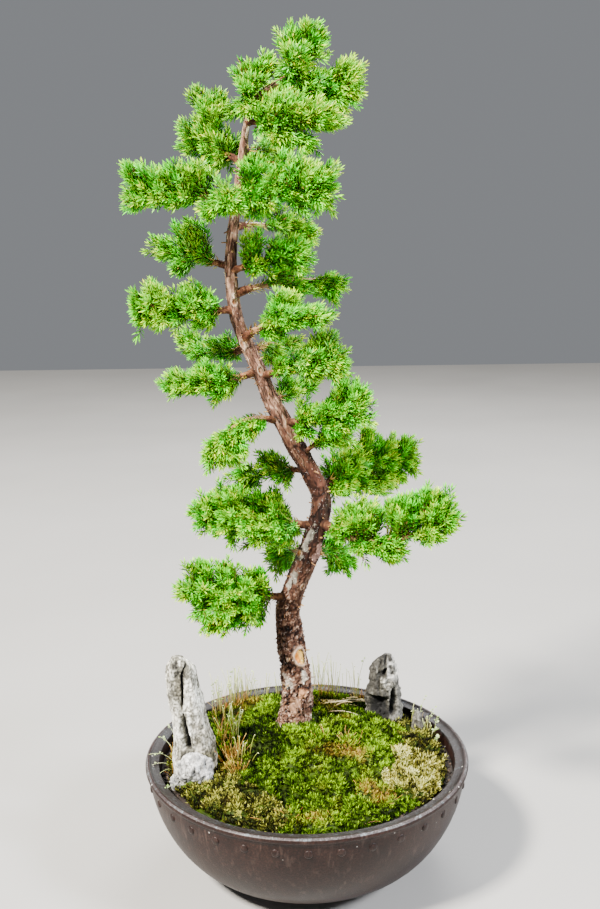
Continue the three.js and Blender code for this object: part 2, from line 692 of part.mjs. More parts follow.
// A leafy shoot: a three-sided twig whose last stretch bears whorls of three needles, each
// ring of its corners turned a sixth of a turn from the one before, and which ends in a point.
function leafyShoot({ curve, from = 0, radius = shoot.twigRadius, steps = 1, turn }) {
  const length = curve.getLength();
  const chord = curve.getPoint(1).sub(curve.getPoint(from)).normalize();
  const whorls = whorlsOn(length * (1 - from));
  const leafFrom = 1 - (shoot.budReach + whorls * shoot.whorlSpacing) / length;
  const shares = [];
  for (let step = 0; step < steps; step++) {
    shares.push(from + (leafFrom - from) * step / steps);
  }
  for (let whorl = 0; whorl <= whorls; whorl++) {
    shares.push(leafFrom + whorl * shoot.whorlSpacing / length);
  }
  const aheads = shares.map((share) => curve.getTangent(share));
  const rings = shares.map((share, i) => {
    const thick = radius + (shoot.twigRadius - radius) * Math.min(i / steps, 1);
    return ringAround(curve.getPoint(share), aheads[i], chord, thick, 3, turn + i * Math.PI / 3);
  });
  const corners = rings.flat();
  const faces = [0, 2, 1];
  for (let ring = 0; ring < rings.length - 1; ring++) {
    for (let side = 0; side < 3; side++) {
      const low = ring * 3 + side;
      const lowNext = ring * 3 + (side + 1) % 3;
      const high = low + 3;
      faces.push(lowNext, lowNext + 3, high);
      if (ring < steps) {
        faces.push(low, lowNext, high);
      } else {
        const middle = curve.getPoint((shares[ring] + shares[ring + 1]) / 2);
        const root = [low, lowNext, high].map((corner) => corners[corner]);
        faces.push(low, lowNext, corners.length, lowNext, high, corners.length);
        faces.push(high, low, corners.length);
        corners.push(needleTip(root, middle, aheads[ring]));
      }
    }
  }
  const last = (rings.length - 1) * 3;
  for (let side = 0; side < 3; side++) {
    faces.push(last + side, last + (side + 1) % 3, corners.length);
  }
  corners.push(curve.getPoint(1));
  return solid(surface(corners, faces));
}

function needleTip(root, middle, ahead) {
  const lean = radians(shoot.needleLean);
  const start = root.reduce((sum, corner) => sum.add(corner), point(0, 0, 0)).divideScalar(3);
  const outward = start.clone().sub(middle).projectOnPlane(ahead).normalize();
  return start
    .addScaledVector(outward, shoot.needleLength * Math.cos(lean))
    .addScaledVector(ahead, shoot.needleLength * Math.sin(lean));
}

// Places along a shoot, each with the room that the shoot needs there.
function roomAlong(curve, from, twigRoom) {
  const length = curve.getLength();
  const leafy = 1 - (shoot.budReach + (whorlsOn(length) + 1) * shoot.whorlSpacing) / length;
  const places = Math.ceil(length * (1 - from) / reach.step);
  return Array.from({ length: places + 1 }, (_, i) => {
    const share = from + (1 - from) * i / places;
    return { centre: curve.getPoint(share), radius: share > leafy ? reach.needles : twigRoom };
  });
}

// A shoot's way from the limb's stem to a place on its pad, or null where it is too short
// or would run into another shoot.
function shootWay(plan, [share, lift, halfLength, halfHeight], direction) {
  const tip = plan.curve.getPoint(share).add(point(
    direction.x * halfLength, direction.y * halfLength, lift + direction.z * halfHeight));
  const stemEnd = 1 - shoot.budReach / plan.length;
  const shares = [];
  for (let place = plan.stemStart; place < stemEnd; place += 1 / plan.length) {
    shares.push(place);
  }
  const distances = shares.map((place) => plan.curve.getPoint(place).distanceTo(tip));
  const away = Math.min(...distances);
  const nearest = shares[distances.indexOf(away)];
  const back = Math.sqrt(Math.max(shoot.leastLength ** 2 - away ** 2, (shoot.sweep * away) ** 2));
  const rootShare = Math.max(plan.stemStart + 1 / plan.length, nearest - back / plan.length);
  const root = plan.curve.getPoint(rootShare);
  const length = root.distanceTo(tip);
  if (whorlsOn(length) < shoot.fewestWhorls) return null;
  const control = root.clone().lerp(tip, 0.5).add(point(0, 0, -shoot.droop * length));
  const curve = new THREE.QuadraticBezierCurve3(root, control, tip);
  const room = roomAlong(curve, 0, reach.twig);
  const outer = room.slice(Math.ceil(room.length / 2));
  if (!room.slice(2).every((ball) => clearOfOthers(plan.name, ball))) return null;
  if (!outer.every((ball) => clearOfSiblings(plan.name, ball))) return null;
  room.forEach((ball) => claim(plan.name, ball));
  return curve;
}

// Directions spread evenly all round, in an order that visits every side early: the height
// steps on by the golden ratio's share, and the turn by that of the plastic ratio.
function allRound(count, seed) {
  const [goldenShare, plasticShare] = [0.618034, 0.754878];
  return Array.from({ length: count }, (_, i) => {
    const z = 1 - 2 * ((i * goldenShare + scatter(seed)) % 1);
    const flat = Math.sqrt(1 - z * z);
    const angle = 2 * Math.PI * ((i * plasticShare + scatter(seed + 0.5)) % 1);
    return point(flat * Math.cos(angle), flat * Math.sin(angle), z);
  });
}

// The shoots of one pad, even on all its sides.
function padShoots(plan, pad, seed) {
  const [share, , halfLength, halfHeight] = pad;
  const area = 4 * Math.PI * halfLength * (halfLength + 2 * halfHeight) / 3;
  const count = Math.max(1, Math.round(area / shoot.padArea));
  const ahead = plan.curve.getTangent(share);
  const apart = shoot.apart / Math.sqrt(count);
  const chosen = [];
  const curves = [];
  for (const direction of allRound(count * shoot.tries, seed)) {
    if (curves.length === count) break;
    if (direction.dot(ahead) < shoot.backward) continue;
    if (chosen.some((other) => other.angleTo(direction) < apart)) continue;
    const curve = shootWay(plan, pad, direction);
    if (!curve) continue;
    chosen.push(direction);
    curves.push(curve);
  }
  return curves;
}

// A limb's leafy stem and the shoots of its pads, as one body.
function buildSpray(plan, order) {
  const stem = {
    curve: plan.curve, from: plan.stemStart, radius: shoot.stemRadius, steps: shoot.stemSteps, turn: 0,
  };
  const curves = plan.pads.flatMap((pad, i) => padShoots(plan, pad, order * seeds.pad + i));
  const sides = curves.map((curve, i) => (
    { curve, turn: 2 * Math.PI * scatter(order * seeds.turn + i) }));
  return join([stem, ...sides].map(leafyShoot));
}

// ---- Assembly --------------------------------------------------------------------------------------

const plans = limbs.map(layOutLimb);

for (let share = 0; share <= 1; share += reach.step / trunkCurve.getLength()) {
  claim('trunk', { centre: trunkCurve.getPoint(share), radius: trunkRadius(share) + reach.bark });
}
for (const plan of plans) {
  for (let share = 0; share < plan.woodEnd; share += reach.step / plan.length) {
    claim('trunk', { centre: plan.curve.getPoint(share), radius: plan.woodRadius });
  }
  roomAlong(plan.curve, plan.stemStart, shoot.stemRadius)
    .forEach((ball) => claim(plan.name, ball));
}

const group = new THREE.Group();
group.name = 'bonsai_in_pot';

group.add(named('pot', buildPot(), finishes.pot));

const drainScreen = named('drain_screen', buildScreen(), finishes.screen);
drainScreen.position.z = potFloor + gap;
group.add(drainScreen);

const stones = { stone_tall: tallStone, stone_dark: darkStone, stone_small: smallStone };
const stoneFinishes = {
  stone_tall: finishes.paleStone, stone_dark: finishes.darkStone, stone_small: finishes.darkStone,
};
for (const [name, stone] of Object.entries(stones)) {
  const piece = named(name, stoneSolid(stone), stoneFinishes[name]);
  piece.position.set(...stone.place);
  group.add(piece);
}

const stuckIn = join([trunkBody(gap), ...Object.values(stones).map((s) => stoneSolid(s, gap, true))]);
group.add(named('soil', soilBody().subtract(stuckIn).subtract(screenPocket()), finishes.soil));

const mound = mossMound().subtract(stuckIn);
const patches = Object.values(mossPatches);
const mossFinishes = { moss_olive_left: finishes.mossOlive, moss_pale_right: finishes.mossPale };
group.add(named('moss_bright', patches.reduce(
  (rest, patch) => rest.subtract(patchBlock(patch, gap)), mound), finishes.mossBright));
for (const [name, patch] of Object.entries(mossPatches)) {
  group.add(named(name, mound.intersect(patchBlock(patch, 0)), mossFinishes[name]));
}

const wood = join([trunkBody(), ...plans.map(limbWood)]);
group.add(named('trunk_and_limbs', wood, finishes.bark));

plans.forEach((plan, order) => {
  group.add(named(`spray_${plan.name}`, buildSpray(plan, order), finishes.foliage));
});

export default group;
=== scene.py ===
"""A tall juniper bonsai in a round studded bowl, with a moss mound and three upright stones.

The origin is on the bowl's axis, in the plane of its feet. +X is to the viewer's right, +Y is
away from the viewer and +Z is up. Shapes are worked out in millimetres, as whole arrays, and
become metres when they are put into a mesh.
"""
import itertools

import bpy
import numpy as np
from mathutils import Matrix


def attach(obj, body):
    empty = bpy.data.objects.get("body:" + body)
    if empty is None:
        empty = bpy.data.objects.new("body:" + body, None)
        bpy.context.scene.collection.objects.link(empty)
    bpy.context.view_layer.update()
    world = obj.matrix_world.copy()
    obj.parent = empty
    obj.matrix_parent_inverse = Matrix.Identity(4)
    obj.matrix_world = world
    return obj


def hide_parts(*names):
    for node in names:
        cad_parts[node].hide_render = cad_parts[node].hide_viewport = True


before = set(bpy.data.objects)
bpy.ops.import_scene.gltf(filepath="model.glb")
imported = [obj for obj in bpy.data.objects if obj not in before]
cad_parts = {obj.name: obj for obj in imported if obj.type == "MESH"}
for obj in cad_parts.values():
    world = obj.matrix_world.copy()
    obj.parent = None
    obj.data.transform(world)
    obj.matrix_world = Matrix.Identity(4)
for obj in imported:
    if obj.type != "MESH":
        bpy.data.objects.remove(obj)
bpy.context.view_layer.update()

MM = 0.001
TURN = 2 * np.pi
GOLDEN_ANGLE = np.pi * (3 - 5 ** 0.5)

# ---- Sizes, in millimetres ----

RIM_HEIGHT = 90
FOOT_HEIGHT = 5
BASE_RADIUS = 66
SHOULDER_RADIUS = 127.5
BEAD_RADIUS = 2.5
# The rim falls inwards to a lip, whose edge is round.
RIM_FALL = 1.8
LIP_RADIUS, LIP_HEIGHT, LIP_EDGE = 119, 5, 0.8
WALL, FLOOR = 5.5, 6
BOWL_FULLNESS = 1.7
HOLE_RADIUS = 11
STUDS = 34
STUD_RADIUS, STUD_RISE, STUD_HEIGHT = 3.2, 1.3, 77
# Feet: number, ring, radii at the base and at the sole, and how far they sink into the base.
FEET, FOOT_RING, FOOT_TOP, FOOT_SOLE, FOOT_SUNK = 3, 72, 9, 7, 3
FIRST_FOOT = np.radians(98)

SCREEN_WIDTH = 30
SCREEN_THREADS = 13
THREAD_RADIUS = 0.3

# Soil: height near the wall and at its top, and the radii where the slope starts and ends.
SOIL_EDGE, SOIL_TOP = 79, 96
SOIL_LEVEL_RADIUS, SOIL_TOP_RADIUS = 98, 30
CLEARANCE = 0.3

# Moss: where its crest is, how wide the mound and its round cushions are and how far they rise,
# how deep the creases between them lie, and how far its edge rolls down.
MOSS_CREST = (-6, 14)
MOSS_CREST_HEIGHT, MOSS_EDGE_HEIGHT = 110, 86
MOSS_SPREAD, MOSS_RADIUS = 75, 110
CUSHION, CUSHION_RISE, CREASE = 23, 4.6, 3.4
MOSS_ROLL = 3.5
# Loose grains lie outside this radius.
BARE_SOIL = 94

# Trunk, from the stub in the soil to the last bend: x, y, z and radius.
TRUNK = np.array([
    [-10, 22, 60, 9], [-9, 22, 84, 12.6], [-9, 22, 106, 12.8], [-8, 22, 124, 12.3],
    [-8, 22, 150, 11.4], [-12, 23, 174, 10.8], [-14, 24, 200, 9.4], [-8, 24, 221, 8.6],
    [2, 24, 247, 8.6], [12, 24, 276, 7.8], [13, 24, 298, 7.4], [5, 22, 319, 6.8],
    [-8, 20, 343, 7.4], [-22, 18, 372, 6.5], [-34, 16, 401, 5.4], [-46, 14, 430, 4.9],
    [-52, 12, 461, 4.7], [-51, 9, 494, 4.2], [-45, 4, 533, 3.3], [-38, -2, 576, 2.4],
    [-34, -4, 591, 2.2], [-25, -6, 600, 2.0], [-11, -7, 608, 1.8],
])

# Each limb: the height at which it leaves the trunk, a bend that it passes through, its tip, and
# its pads of foliage, as share of the way along, height above the limb, half length, half height.
LIMBS = {
    "low_left": (214, (-44, 8, 220), (-96, -14, 233),
                 [(0.6, -5, 30, 24), (0.9, 1, 15, 11), (0.7, -19, 17, 14), (0.33, 13, 12, 11)]),
    "low_back_left": (254, (-12, 60, 240), (-30, 88, 227), [(0.77, -1, 15, 19)]),
    "low_back_right": (247, (22, 55, 241), (44, 80, 220), [(0.7, -6, 14, 12), (0.5, 5, 10, 8)]),
    "mid_left": (272, (-27, 26, 277), (-90, 30, 282),
                 [(0.54, -4, 34, 21), (0.87, 0, 16, 16), (0.72, 17, 16, 11),
                  (0.28, -8, 16, 13), (0.41, 15, 16, 11)]),
    "mid_right": (277, (54, -20, 273), (111, -46, 299),
                  [(0.38, 20, 20, 15), (0.69, 21, 16, 16), (0.9, 10, 13, 16),
                   (0.24, 5, 12, 11), (0.59, -6, 14, 11), (0.83, 26, 9, 7), (0.41, -7, 12, 8)]),
    "mid_back_right": (301, (38, 48, 314), (93, 70, 319),
                       [(0.36, 3, 21, 16), (0.72, 1, 16, 16), (0.92, 4, 12, 13),
                        (0.59, 20, 8, 11), (0.82, -21, 15, 10), (0.2, -2, 11, 11)]),
    "small_left": (318, (-19, 34, 316), (-52, 48, 303), [(0.54, 6, 13, 10), (0.92, 0, 13, 13)]),
    "bow_left": (357, (-46, 0, 362), (-72, -14, 333),
                 [(0.44, -7, 14, 8), (0.72, -8, 15, 12), (0.92, -4, 10, 9), (0.6, -24, 14, 8)]),
    "half_right": (359, (13, 0, 363), (48, -20, 378),
                   [(0.28, -1, 11, 14), (0.64, 4, 16, 13), (0.9, 6, 9, 12),
                    (0.66, -11, 11, 8), (0.72, 17, 9, 7)]),
    "twig_right": (329, (9, 14, 341), (36, 12, 345), [(0.6, 0, 7, 6), (0.92, -1, 9, 9)]),
    "half_back": (376, (-10, 55, 374), (7, 85, 373), [(0.51, 3, 12, 10), (0.97, 4, 10, 8)]),
    "long_left": (399, (-61, 4, 392), (-106, -6, 390),
                  [(0.54, 5, 18, 14), (0.82, 2, 15, 10), (0.41, -7, 10, 8)]),
    "back_left": (417, (-69, 45, 410), (-99, 70, 419),
                  [(0.36, 2, 14, 10), (0.72, -3, 14, 9), (0.9, 2, 10, 8)]),
    "fan_right": (394, (-2, -6, 405), (35, -14, 410),
                  [(0.67, 2, 16, 16), (0.9, -4, 10, 15), (0.36, 0, 10, 8), (0.79, 14, 10, 9)]),
    "back_fan": (413, (-24, 50, 415), (-1, 80, 408), [(0.54, -10, 10, 10), (0.85, 0, 11, 8)]),
    "pale_right": (424, (-19, -12, 438), (25, -30, 441),
                   [(0.59, 3, 17, 12), (0.54, 14, 10, 8), (0.84, 0, 13, 9), (0.44, -9, 9, 5)]),
    "plume_left": (446, (-87, 2, 447), (-122, -6, 452),
                   [(0.43, 5, 18, 15), (0.81, 3, 15, 13), (0.33, -8, 9, 9), (0.72, -9, 15, 7)]),
    "ramp_right": (457, (-20, 20, 465), (35, 40, 463),
                   [(0.44, 7, 12, 7), (0.59, -5, 8, 9), (0.86, -6, 14, 12)]),
    "drop_right": (475, (-29, 0, 481), (2, -10, 489),
                   [(0.33, 13, 11, 10), (0.74, 3, 13, 11), (1.0, 1, 8, 10)]),
    "upper_left": (478, (-77, 20, 484), (-112, 36, 492),
                   [(0.5, 13, 14, 18), (0.86, 0, 11, 9), (0.36, 2, 9, 7), (0.66, -11, 7, 6)]),
    "back_right": (507, (-23, 40, 507), (12, 60, 500), [(0.87, -4, 13, 13), (0.67, 4, 11, 9)]),
    "shoulder_left": (522, (-75, -10, 530), (-117, -24, 529),
                      [(0.86, 3, 14, 16), (0.62, 10, 13, 10), (0.42, 15, 13, 8),
                       (0.64, -6, 9, 6)]),
    "front_left": (526, (-51, -28, 528), (-54, -44, 528), [(0.8, -3, 10, 13)]),
    "front_right": (533, (-14, -30, 532), (29, -44, 536),
                    [(0.28, -8, 16, 14), (0.59, 6, 18, 17), (0.85, 2, 14, 14),
                     (0.22, 14, 11, 9), (0.87, -14, 8, 6)]),
    "high_left": (553, (-62, 16, 569), (-74, 26, 602),
                  [(0.62, 13, 11, 10), (0.8, -12, 12, 12), (0.33, -2, 13, 15),
                   (0.66, -28, 11, 8), (0.4, 18, 9, 9), (0.97, 0, 5, 7)]),
    "high_back": (561, (-28, 40, 563), (-13, 70, 569), [(0.85, 0, 15, 11), (0.51, -11, 12, 11)]),
    "crown_left": (590, (-37, 4, 602), (-38, 10, 612), [(0.7, 5, 10, 11), (1.0, 4, 6, 6)]),
    "crown_low": (580, (-10, -16, 579), (28, -26, 580),
                  [(0.49, 7, 18, 13), (0.79, 3, 15, 10), (0.23, 2, 11, 12), (0.44, -12, 13, 8)]),
    "crown_right": (596, (1, -4, 600), (43, -6, 612),
                    [(0.85, 2, 11, 13), (0.64, 0, 13, 12), (0.79, -17, 10, 10),
                     (0.98, 1, 5, 8)]),
    "crown_back": (594, (-21, 28, 601), (-2, 50, 612), [(0.72, 0, 15, 12), (1.0, 3, 11, 11)]),
    "crown_spire": (607, (1, -8, 623), (10, -10, 651),
                    [(0.72, -1, 7, 14), (0.33, -6, 13, 12), (0.2, 16, 9, 10)]),
}
# A limb's wood is the first radius plus the taper times its length, and is bare for this far past
# the trunk.
LIMB_TIP_RADIUS, LIMB_TAPER, LIMB_SHOWING = 1.5, 0.016, 9
NEEDLE_LENGTH, NEEDLE_WIDTH = 6.5, 1.5
# Between whorls of needles, between the shoots' tips, and from a tip to its pad's edge.
WHORL_SPACING, TIP_SPACING, TIP_MARGIN = 1.8, 11.5, 3.5
SHOOT_WHORLS, SIDE_WHORLS, SIDE_LEAFY = 10, 5, 8.5
# Tufts that close the gaps between a limb's pads: centre x, y, z, half length, half height.
TUFTS = {
    "crown_left": [(-21, -2, 620, 10, 10), (-33, -10, 604, 8, 7), (-35, -12, 586, 7, 7),
                   (-48, 14, 589, 6, 8)],
    "crown_spire": [(15, -8, 631, 7, 11), (-2, -16, 620, 10, 8)],
    "crown_low": [(20, -20, 576, 13, 7), (7, -16, 562, 6, 8)],
    "crown_right": [(38, -6, 599, 8, 11)],
    "high_left": [(-85, 20, 570, 8, 12), (-60, 18, 595, 8, 8), (-47, 22, 562, 7, 8)],
    "shoulder_left": [(-120, -22, 544, 6, 7), (-120, -22, 525, 9, 7), (-89, -14, 526, 14, 7)],
    "front_left": [(-67, -24, 518, 9, 9), (-47, -38, 522, 8, 9)],
    "front_right": [(2, -36, 521, 8, 7)],
    "plume_left": [(-125, -6, 452, 7, 11), (-118, -6, 439, 8, 5)],
    "mid_back_right": [(33, 38, 300, 15, 8), (61, 46, 297, 15, 8), (89, 66, 309, 8, 8)],
    "mid_right": [(95, -44, 284, 12, 6), (109, -46, 294, 5, 8), (66, -24, 259, 8, 6)],
    "low_left": [(-81, -10, 250, 11, 6), (-63, 0, 248, 10, 6), (-72, -14, 200, 10, 6),
                 (-41, 4, 200, 8, 7)],
    "drop_right": [(-30, -6, 477, 8, 6), (1, -8, 478, 7, 7)],
    "half_right": [(44, -20, 366, 8, 6)],
    "small_left": [(-17, 30, 312, 11, 7)],
}
TREE_REACH, TREE_TOP = 130, 651

# How many of the small things there are, and how fine the grids are: columns, or rows and columns.
SOIL_GRAINS = 1900
MOSS_SPRIGS, SPRIG_LEAVES = 8300, 8
LOOSE_CHIPS, DEAD_TWIGS = 3600, 90
POT_COLUMNS = SOIL_COLUMNS = 240
WALL_ROWS, BEAD_ROWS, INSIDE_ROWS = 56, 20, 14
MOSS_GRID = (66, 230)
TRUNK_GRID = (660, 106)
# A stone's columns come first.
TALL_GRID, DARK_GRID, SMALL_GRID, LUMP_GRID = (184, 240), (156, 190), (90, 90), (84, 60)

# ---- Colours ----


def linear(code):
    """The linear colour of an sRGB hex code."""
    srgb = np.array([(code >> shift & 255) / 255 for shift in (16, 8, 0)])
    return np.where(srgb <= 0.04045, srgb / 12.92, ((srgb + 0.055) / 1.055) ** 2.4)


def rgba(code):
    return (*linear(code), 1)


# How much lighter or darker the pot's plastic is painted: on the bead's crest, wear with a painted
# highlight; on the rim, wear that greys it; a painted highlight on the studs; painted shade on the
# feet and inside. The tint is kept on the surface in steps of POT_TINT, because a colour there goes
# no higher than 1 and the bead's crest is far lighter.
POT_TINT = 0.04
CREST_HIGHLIGHT_AND_WEAR, RIM_WEAR = (4.4, 9.5, 13.5), (1.0, 2.0, 2.8)
# The rows of the bead's crest that are lightened, as wear and a painted highlight.
HIGHLIT_WORN_CREST = (11, 15)
FOOT_PAINTED_SHADE, STUD_PAINTED_HIGHLIGHT, INSIDE_PAINTED_SHADE = 0.825, (1.05, 1.25, 1.4), 0.8


def blend(low, high, share):
    """From one colour or size to another, by a share for each corner."""
    share = np.clip(np.asarray(share, float), 0, 1)[..., None]
    return np.asarray(low) * (1 - share) + np.asarray(high) * share


def pick(codes, share):
    """A colour from a row of hex codes, blended between the two nearest to the share."""
    row = np.array([linear(code) for code in codes])
    place = np.clip(share, 0, 1) * (len(row) - 1)
    low = np.minimum(place.astype(int), len(row) - 2)
    return blend(row[low], row[low + 1], place - low)


# ---- Numbers over a surface ----


def points(*parts):
    """Points from their coordinates, each first stretched to one shape."""
    return np.stack(np.broadcast_arrays(*parts), -1)


def evenly(count):
    """Angles evenly spaced round a turn."""
    return np.arange(count) * TURN / count


def swung(first, second, angle):
    """The way at an angle from the first of two ways, towards the second."""
    return first * np.cos(angle)[..., None] + second * np.sin(angle)[..., None]


def level(place, levels):
    """The value at a place, in straight steps through (place, value) levels."""
    return np.interp(place, *np.transpose(levels))


def chance(cells, seed):
    """A number from 0 to 1 for each whole-number cell: what follows the point of a big sine."""
    weights = np.array([127.1, 311.7, 74.7])[:cells.shape[-1]]
    wave = np.sin(cells @ weights + seed * 53.3) * 43758.5453
    return wave - np.floor(wave)


def noise(places, width, seed=0):
    """Smooth lumps of about one width, from -1 to 1: each cell corner's chance number, blended
    along each axis by 3t squared less 2t cubed."""
    at = np.asarray(places) / width
    cell = np.floor(at)
    ease = at - cell
    ease = ease * ease * (3 - 2 * ease)
    total = 0
    for corner in itertools.product((0, 1), repeat=3):
        weight = np.prod(np.where(corner, ease, 1 - ease), axis=-1)
        total = total + weight * chance(cell + corner, seed)
    return 2 * total - 1


def rough(places, width, seed=0, octaves=4):
    """Noise with finer copies of itself on top, each half as wide and half as high."""
    return sum(noise(places, width / 2 ** k, seed + k) / 2 ** k for k in range(octaves))


def chips(across, along, count, seed):
    """Cells round scattered points, `count` of them to a turn. For each place: how far it is from
    its cell's edge (second nearest distance less the nearest), its offset from the cell's point,
    and three chance numbers of the cell."""
    at = points(across * count, along)
    cell = np.floor(at)
    nearest = np.full(across.shape, 9.0)
    second = nearest.copy()
    offset = np.zeros(at.shape)
    luck = np.zeros(across.shape + (3,))
    for step in itertools.product((-1, 0, 1), repeat=2):
        there = cell + step
        home = points(there[..., 0] % count, there[..., 1])
        jitter = points(chance(home, seed), chance(home, seed + 1))
        away = at - there - 0.15 - 0.7 * jitter
        distance = np.linalg.norm(away, axis=-1)
        closer = distance < nearest
        second = np.where(closer, nearest, np.minimum(second, distance))
        offset = np.where(closer[..., None], away, offset)
        numbers = points(*(chance(home, seed + k) for k in (2, 3, 4)))
        luck = np.where(closer[..., None], numbers, luck)
        nearest = np.where(closer, distance, nearest)
    return second - nearest, offset, luck


def smooth(share):
    share = np.clip(share, 0, 1)
    return share * share * (3 - 2 * share)


def unit(vectors):
    return vectors / np.maximum(np.linalg.norm(vectors, axis=-1, keepdims=True), 1e-9)


def through(places, levels):
    """A smooth line through (place, value...) levels: cubic between each two, with the slope at
    each level that its neighbours give."""
    levels = np.asarray(levels, float)
    knots, values = levels[:, 0], levels[:, 1:]
    slopes = np.gradient(values, knots, axis=0)
    places = np.clip(places, knots[0], knots[-1])
    low = np.clip(np.searchsorted(knots, places, side="right") - 1, 0, len(knots) - 2)
    step = (knots[low + 1] - knots[low])[..., None]
    t = (places - knots[low])[..., None] / step
    return ((1 + 2 * t) * (1 - t) ** 2 * values[low] + t * (1 - t) ** 2 * step * slopes[low]
            + t * t * (3 - 2 * t) * values[low + 1] + t * t * (t - 1) * step * slopes[low + 1])


# ---- Surfaces ----
# A skin is its corners, its triangles and a linear colour for each corner.


def quads(low, low_after, high_after, high):
    """Two triangles for each cell of a grid, from the numbers of its four corners."""
    return (points(low, low_after, high_after).reshape(-1, 3),
            points(low, high_after, high).reshape(-1, 3))


def closed_skins(rings, tints):
    """Closed skins over (skin, ring, side) corners: two triangles for each cell of the grid, and
    a fan at each end to the middle of the end ring."""
    count, rows, sides, _ = rings.shape
    tints = np.broadcast_to(tints, rings.shape)
    ends = [rings[:, row].mean(1, keepdims=True) for row in (0, -1)]
    end_tints = [tints[:, row].mean(1, keepdims=True) for row in (0, -1)]
    corners = np.concatenate([rings.reshape(count, -1, 3), *ends], 1)
    colours = np.concatenate([tints.reshape(count, -1, 3), *end_tints], 1)
    here = np.arange(rows * sides).reshape(rows, sides)
    after = np.roll(here, -1, axis=1)
    low, low_after, high, high_after = here[:-1], after[:-1], here[1:], after[1:]
    foot, top = rows * sides, rows * sides + 1
    faces = np.concatenate([*quads(low, low_after, high_after, high),
                            points(after[0], here[0], foot), points(here[-1], after[-1], top)])
    return corners.reshape(-1, 3), copies(faces, count, corners.shape[1]), colours.reshape(-1, 3)


def copies(faces, count, corners_each):
    """The triangles of one shape, repeated for each copy's corners."""
    starts = np.arange(count)[:, None, None] * corners_each
    return (faces[None] + starts).reshape(-1, 3)


def merged(*skins):
    """Several skins as one."""
    starts = np.cumsum([0] + [len(corners) for corners, _, _ in skins[:-1]])
    return (np.concatenate([corners for corners, _, _ in skins]),
            np.concatenate([faces + start for (_, faces, _), start in zip(skins, starts)]),
            np.concatenate([tints for _, _, tints in skins]))


def piece(name, skin, material, slot, *nodes, soft_shade=True):
    """Puts a skin into a mesh object that rides on the root, with its colours in 'tint'."""
    corners, faces, tints = skin
    mesh = bpy.data.meshes.new(name)
    mesh.vertices.add(len(corners))
    mesh.vertices.foreach_set("co", (corners * MM).astype(np.float32).ravel())
    mesh.loops.add(faces.size)
    mesh.loops.foreach_set("vertex_index", faces.astype(np.int32).ravel())
    mesh.polygons.add(len(faces))
    mesh.polygons.foreach_set("loop_start", np.arange(0, faces.size, 3, dtype=np.int32))
    mesh.polygons.foreach_set("use_smooth", np.full(len(faces), soft_shade))
    mesh.update(calc_edges=True)
    tint = mesh.attributes.new("tint", "FLOAT_COLOR", "POINT")
    colours = np.concatenate([np.clip(tints, 0, 1), np.ones((len(tints), 1))], 1)
    tint.data.foreach_set("color", colours.astype(np.float32).ravel())
    mesh.materials.append(material)
    made = bpy.data.objects.new(name, mesh)
    bpy.context.scene.collection.objects.link(made)
    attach(made, "root")
    if nodes:
        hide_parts(*nodes)
    return made


def frames(paths):
    """Along each path: the way ahead and two directions square to it and to each other, the
    first of them level unless the path is steep."""
    ahead = unit(np.gradient(paths, axis=-2))
    chord = np.abs(paths[..., -1:, :] - paths[..., :1, :])
    steep = chord[..., 2:] > chord[..., :2].max(-1, keepdims=True)
    aside = np.where(steep, [0, 1, 0], [0, 0, 1])
    first = unit(np.cross(aside, ahead))
    return ahead, first, np.cross(ahead, first)


def around_paths(paths, radii, sides):
    """Rings round each point of each path: centre plus radius times the cosine and sine of the
    turn along two directions square to the path."""
    _, first, second = frames(paths)
    out = swung(first[..., None, :], second[..., None, :], evenly(sides))
    return paths[..., None, :] + np.asarray(radii)[..., None, None] * out


def turned(outline, columns):
    """A lathed grid: each (radius, height) of the outline carried round the axis."""
    angle, radius, height = evenly(columns), outline[:, :1], outline[:, 1:]
    return points(radius * np.cos(angle), radius * np.sin(angle), height)


def bezier(start, control, end, shares):
    """Points of curves that leave start, head for control and end at end."""
    t = shares[..., None]
    return ((1 - t) ** 2 * start[..., None, :] + 2 * t * (1 - t) * control[..., None, :]
            + t * t * end[..., None, :])


BLADE_FACES = np.array([[1, 2, 4], [2, 3, 4], [3, 1, 4], [2, 1, 0], [3, 2, 0], [1, 3, 0]])


def blades(root, ahead, out, length, lean, width, root_tint, tip_tint, curl=0.12, belly=0.32):
    """Pointed blades, each two three-sided points base to base: from its root it runs the length
    at the lean between ahead and out, is widest at the belly's share of the way, and its tip
    curls ahead."""
    across = unit(np.cross(ahead, out))
    lean = np.asarray(lean)[..., None]
    length = np.asarray(length)[..., None]
    width = np.asarray(width)[..., None]
    way = np.cos(lean) * ahead + np.sin(lean) * out
    root = np.broadcast_to(root, way.shape)
    keel = np.cross(across, way)
    middle = root + way * length * belly
    tip = root + way * length + ahead * length * curl
    corners = np.stack([root, middle + across * width / 2, middle - across * width / 2,
                        middle + keel * width * 0.45, tip], -2)
    half = blend(root_tint, tip_tint, 0.45)
    tints = np.stack([np.broadcast_to(tint, way.shape)
                      for tint in (root_tint, half, half, half * 0.8, tip_tint)], -2)
    return (corners.reshape(-1, 3), copies(BLADE_FACES, way[..., 0].size, 5),
            tints.reshape(-1, 3))


# ---- Materials ----
# Sockets by number: a Mix node's are 0 its share, 6 and 7 its colours, and a Map Range node's are
# 0 its value, 1 and 2 where it comes from, 3 and 4 where it goes to. Places are in metres.

# A Mix node that lays one colour over another, and one that multiplies two.
OVER = {"data_type": "RGBA"}
TIMES = {"data_type": "RGBA", "blend_type": "MULTIPLY"}


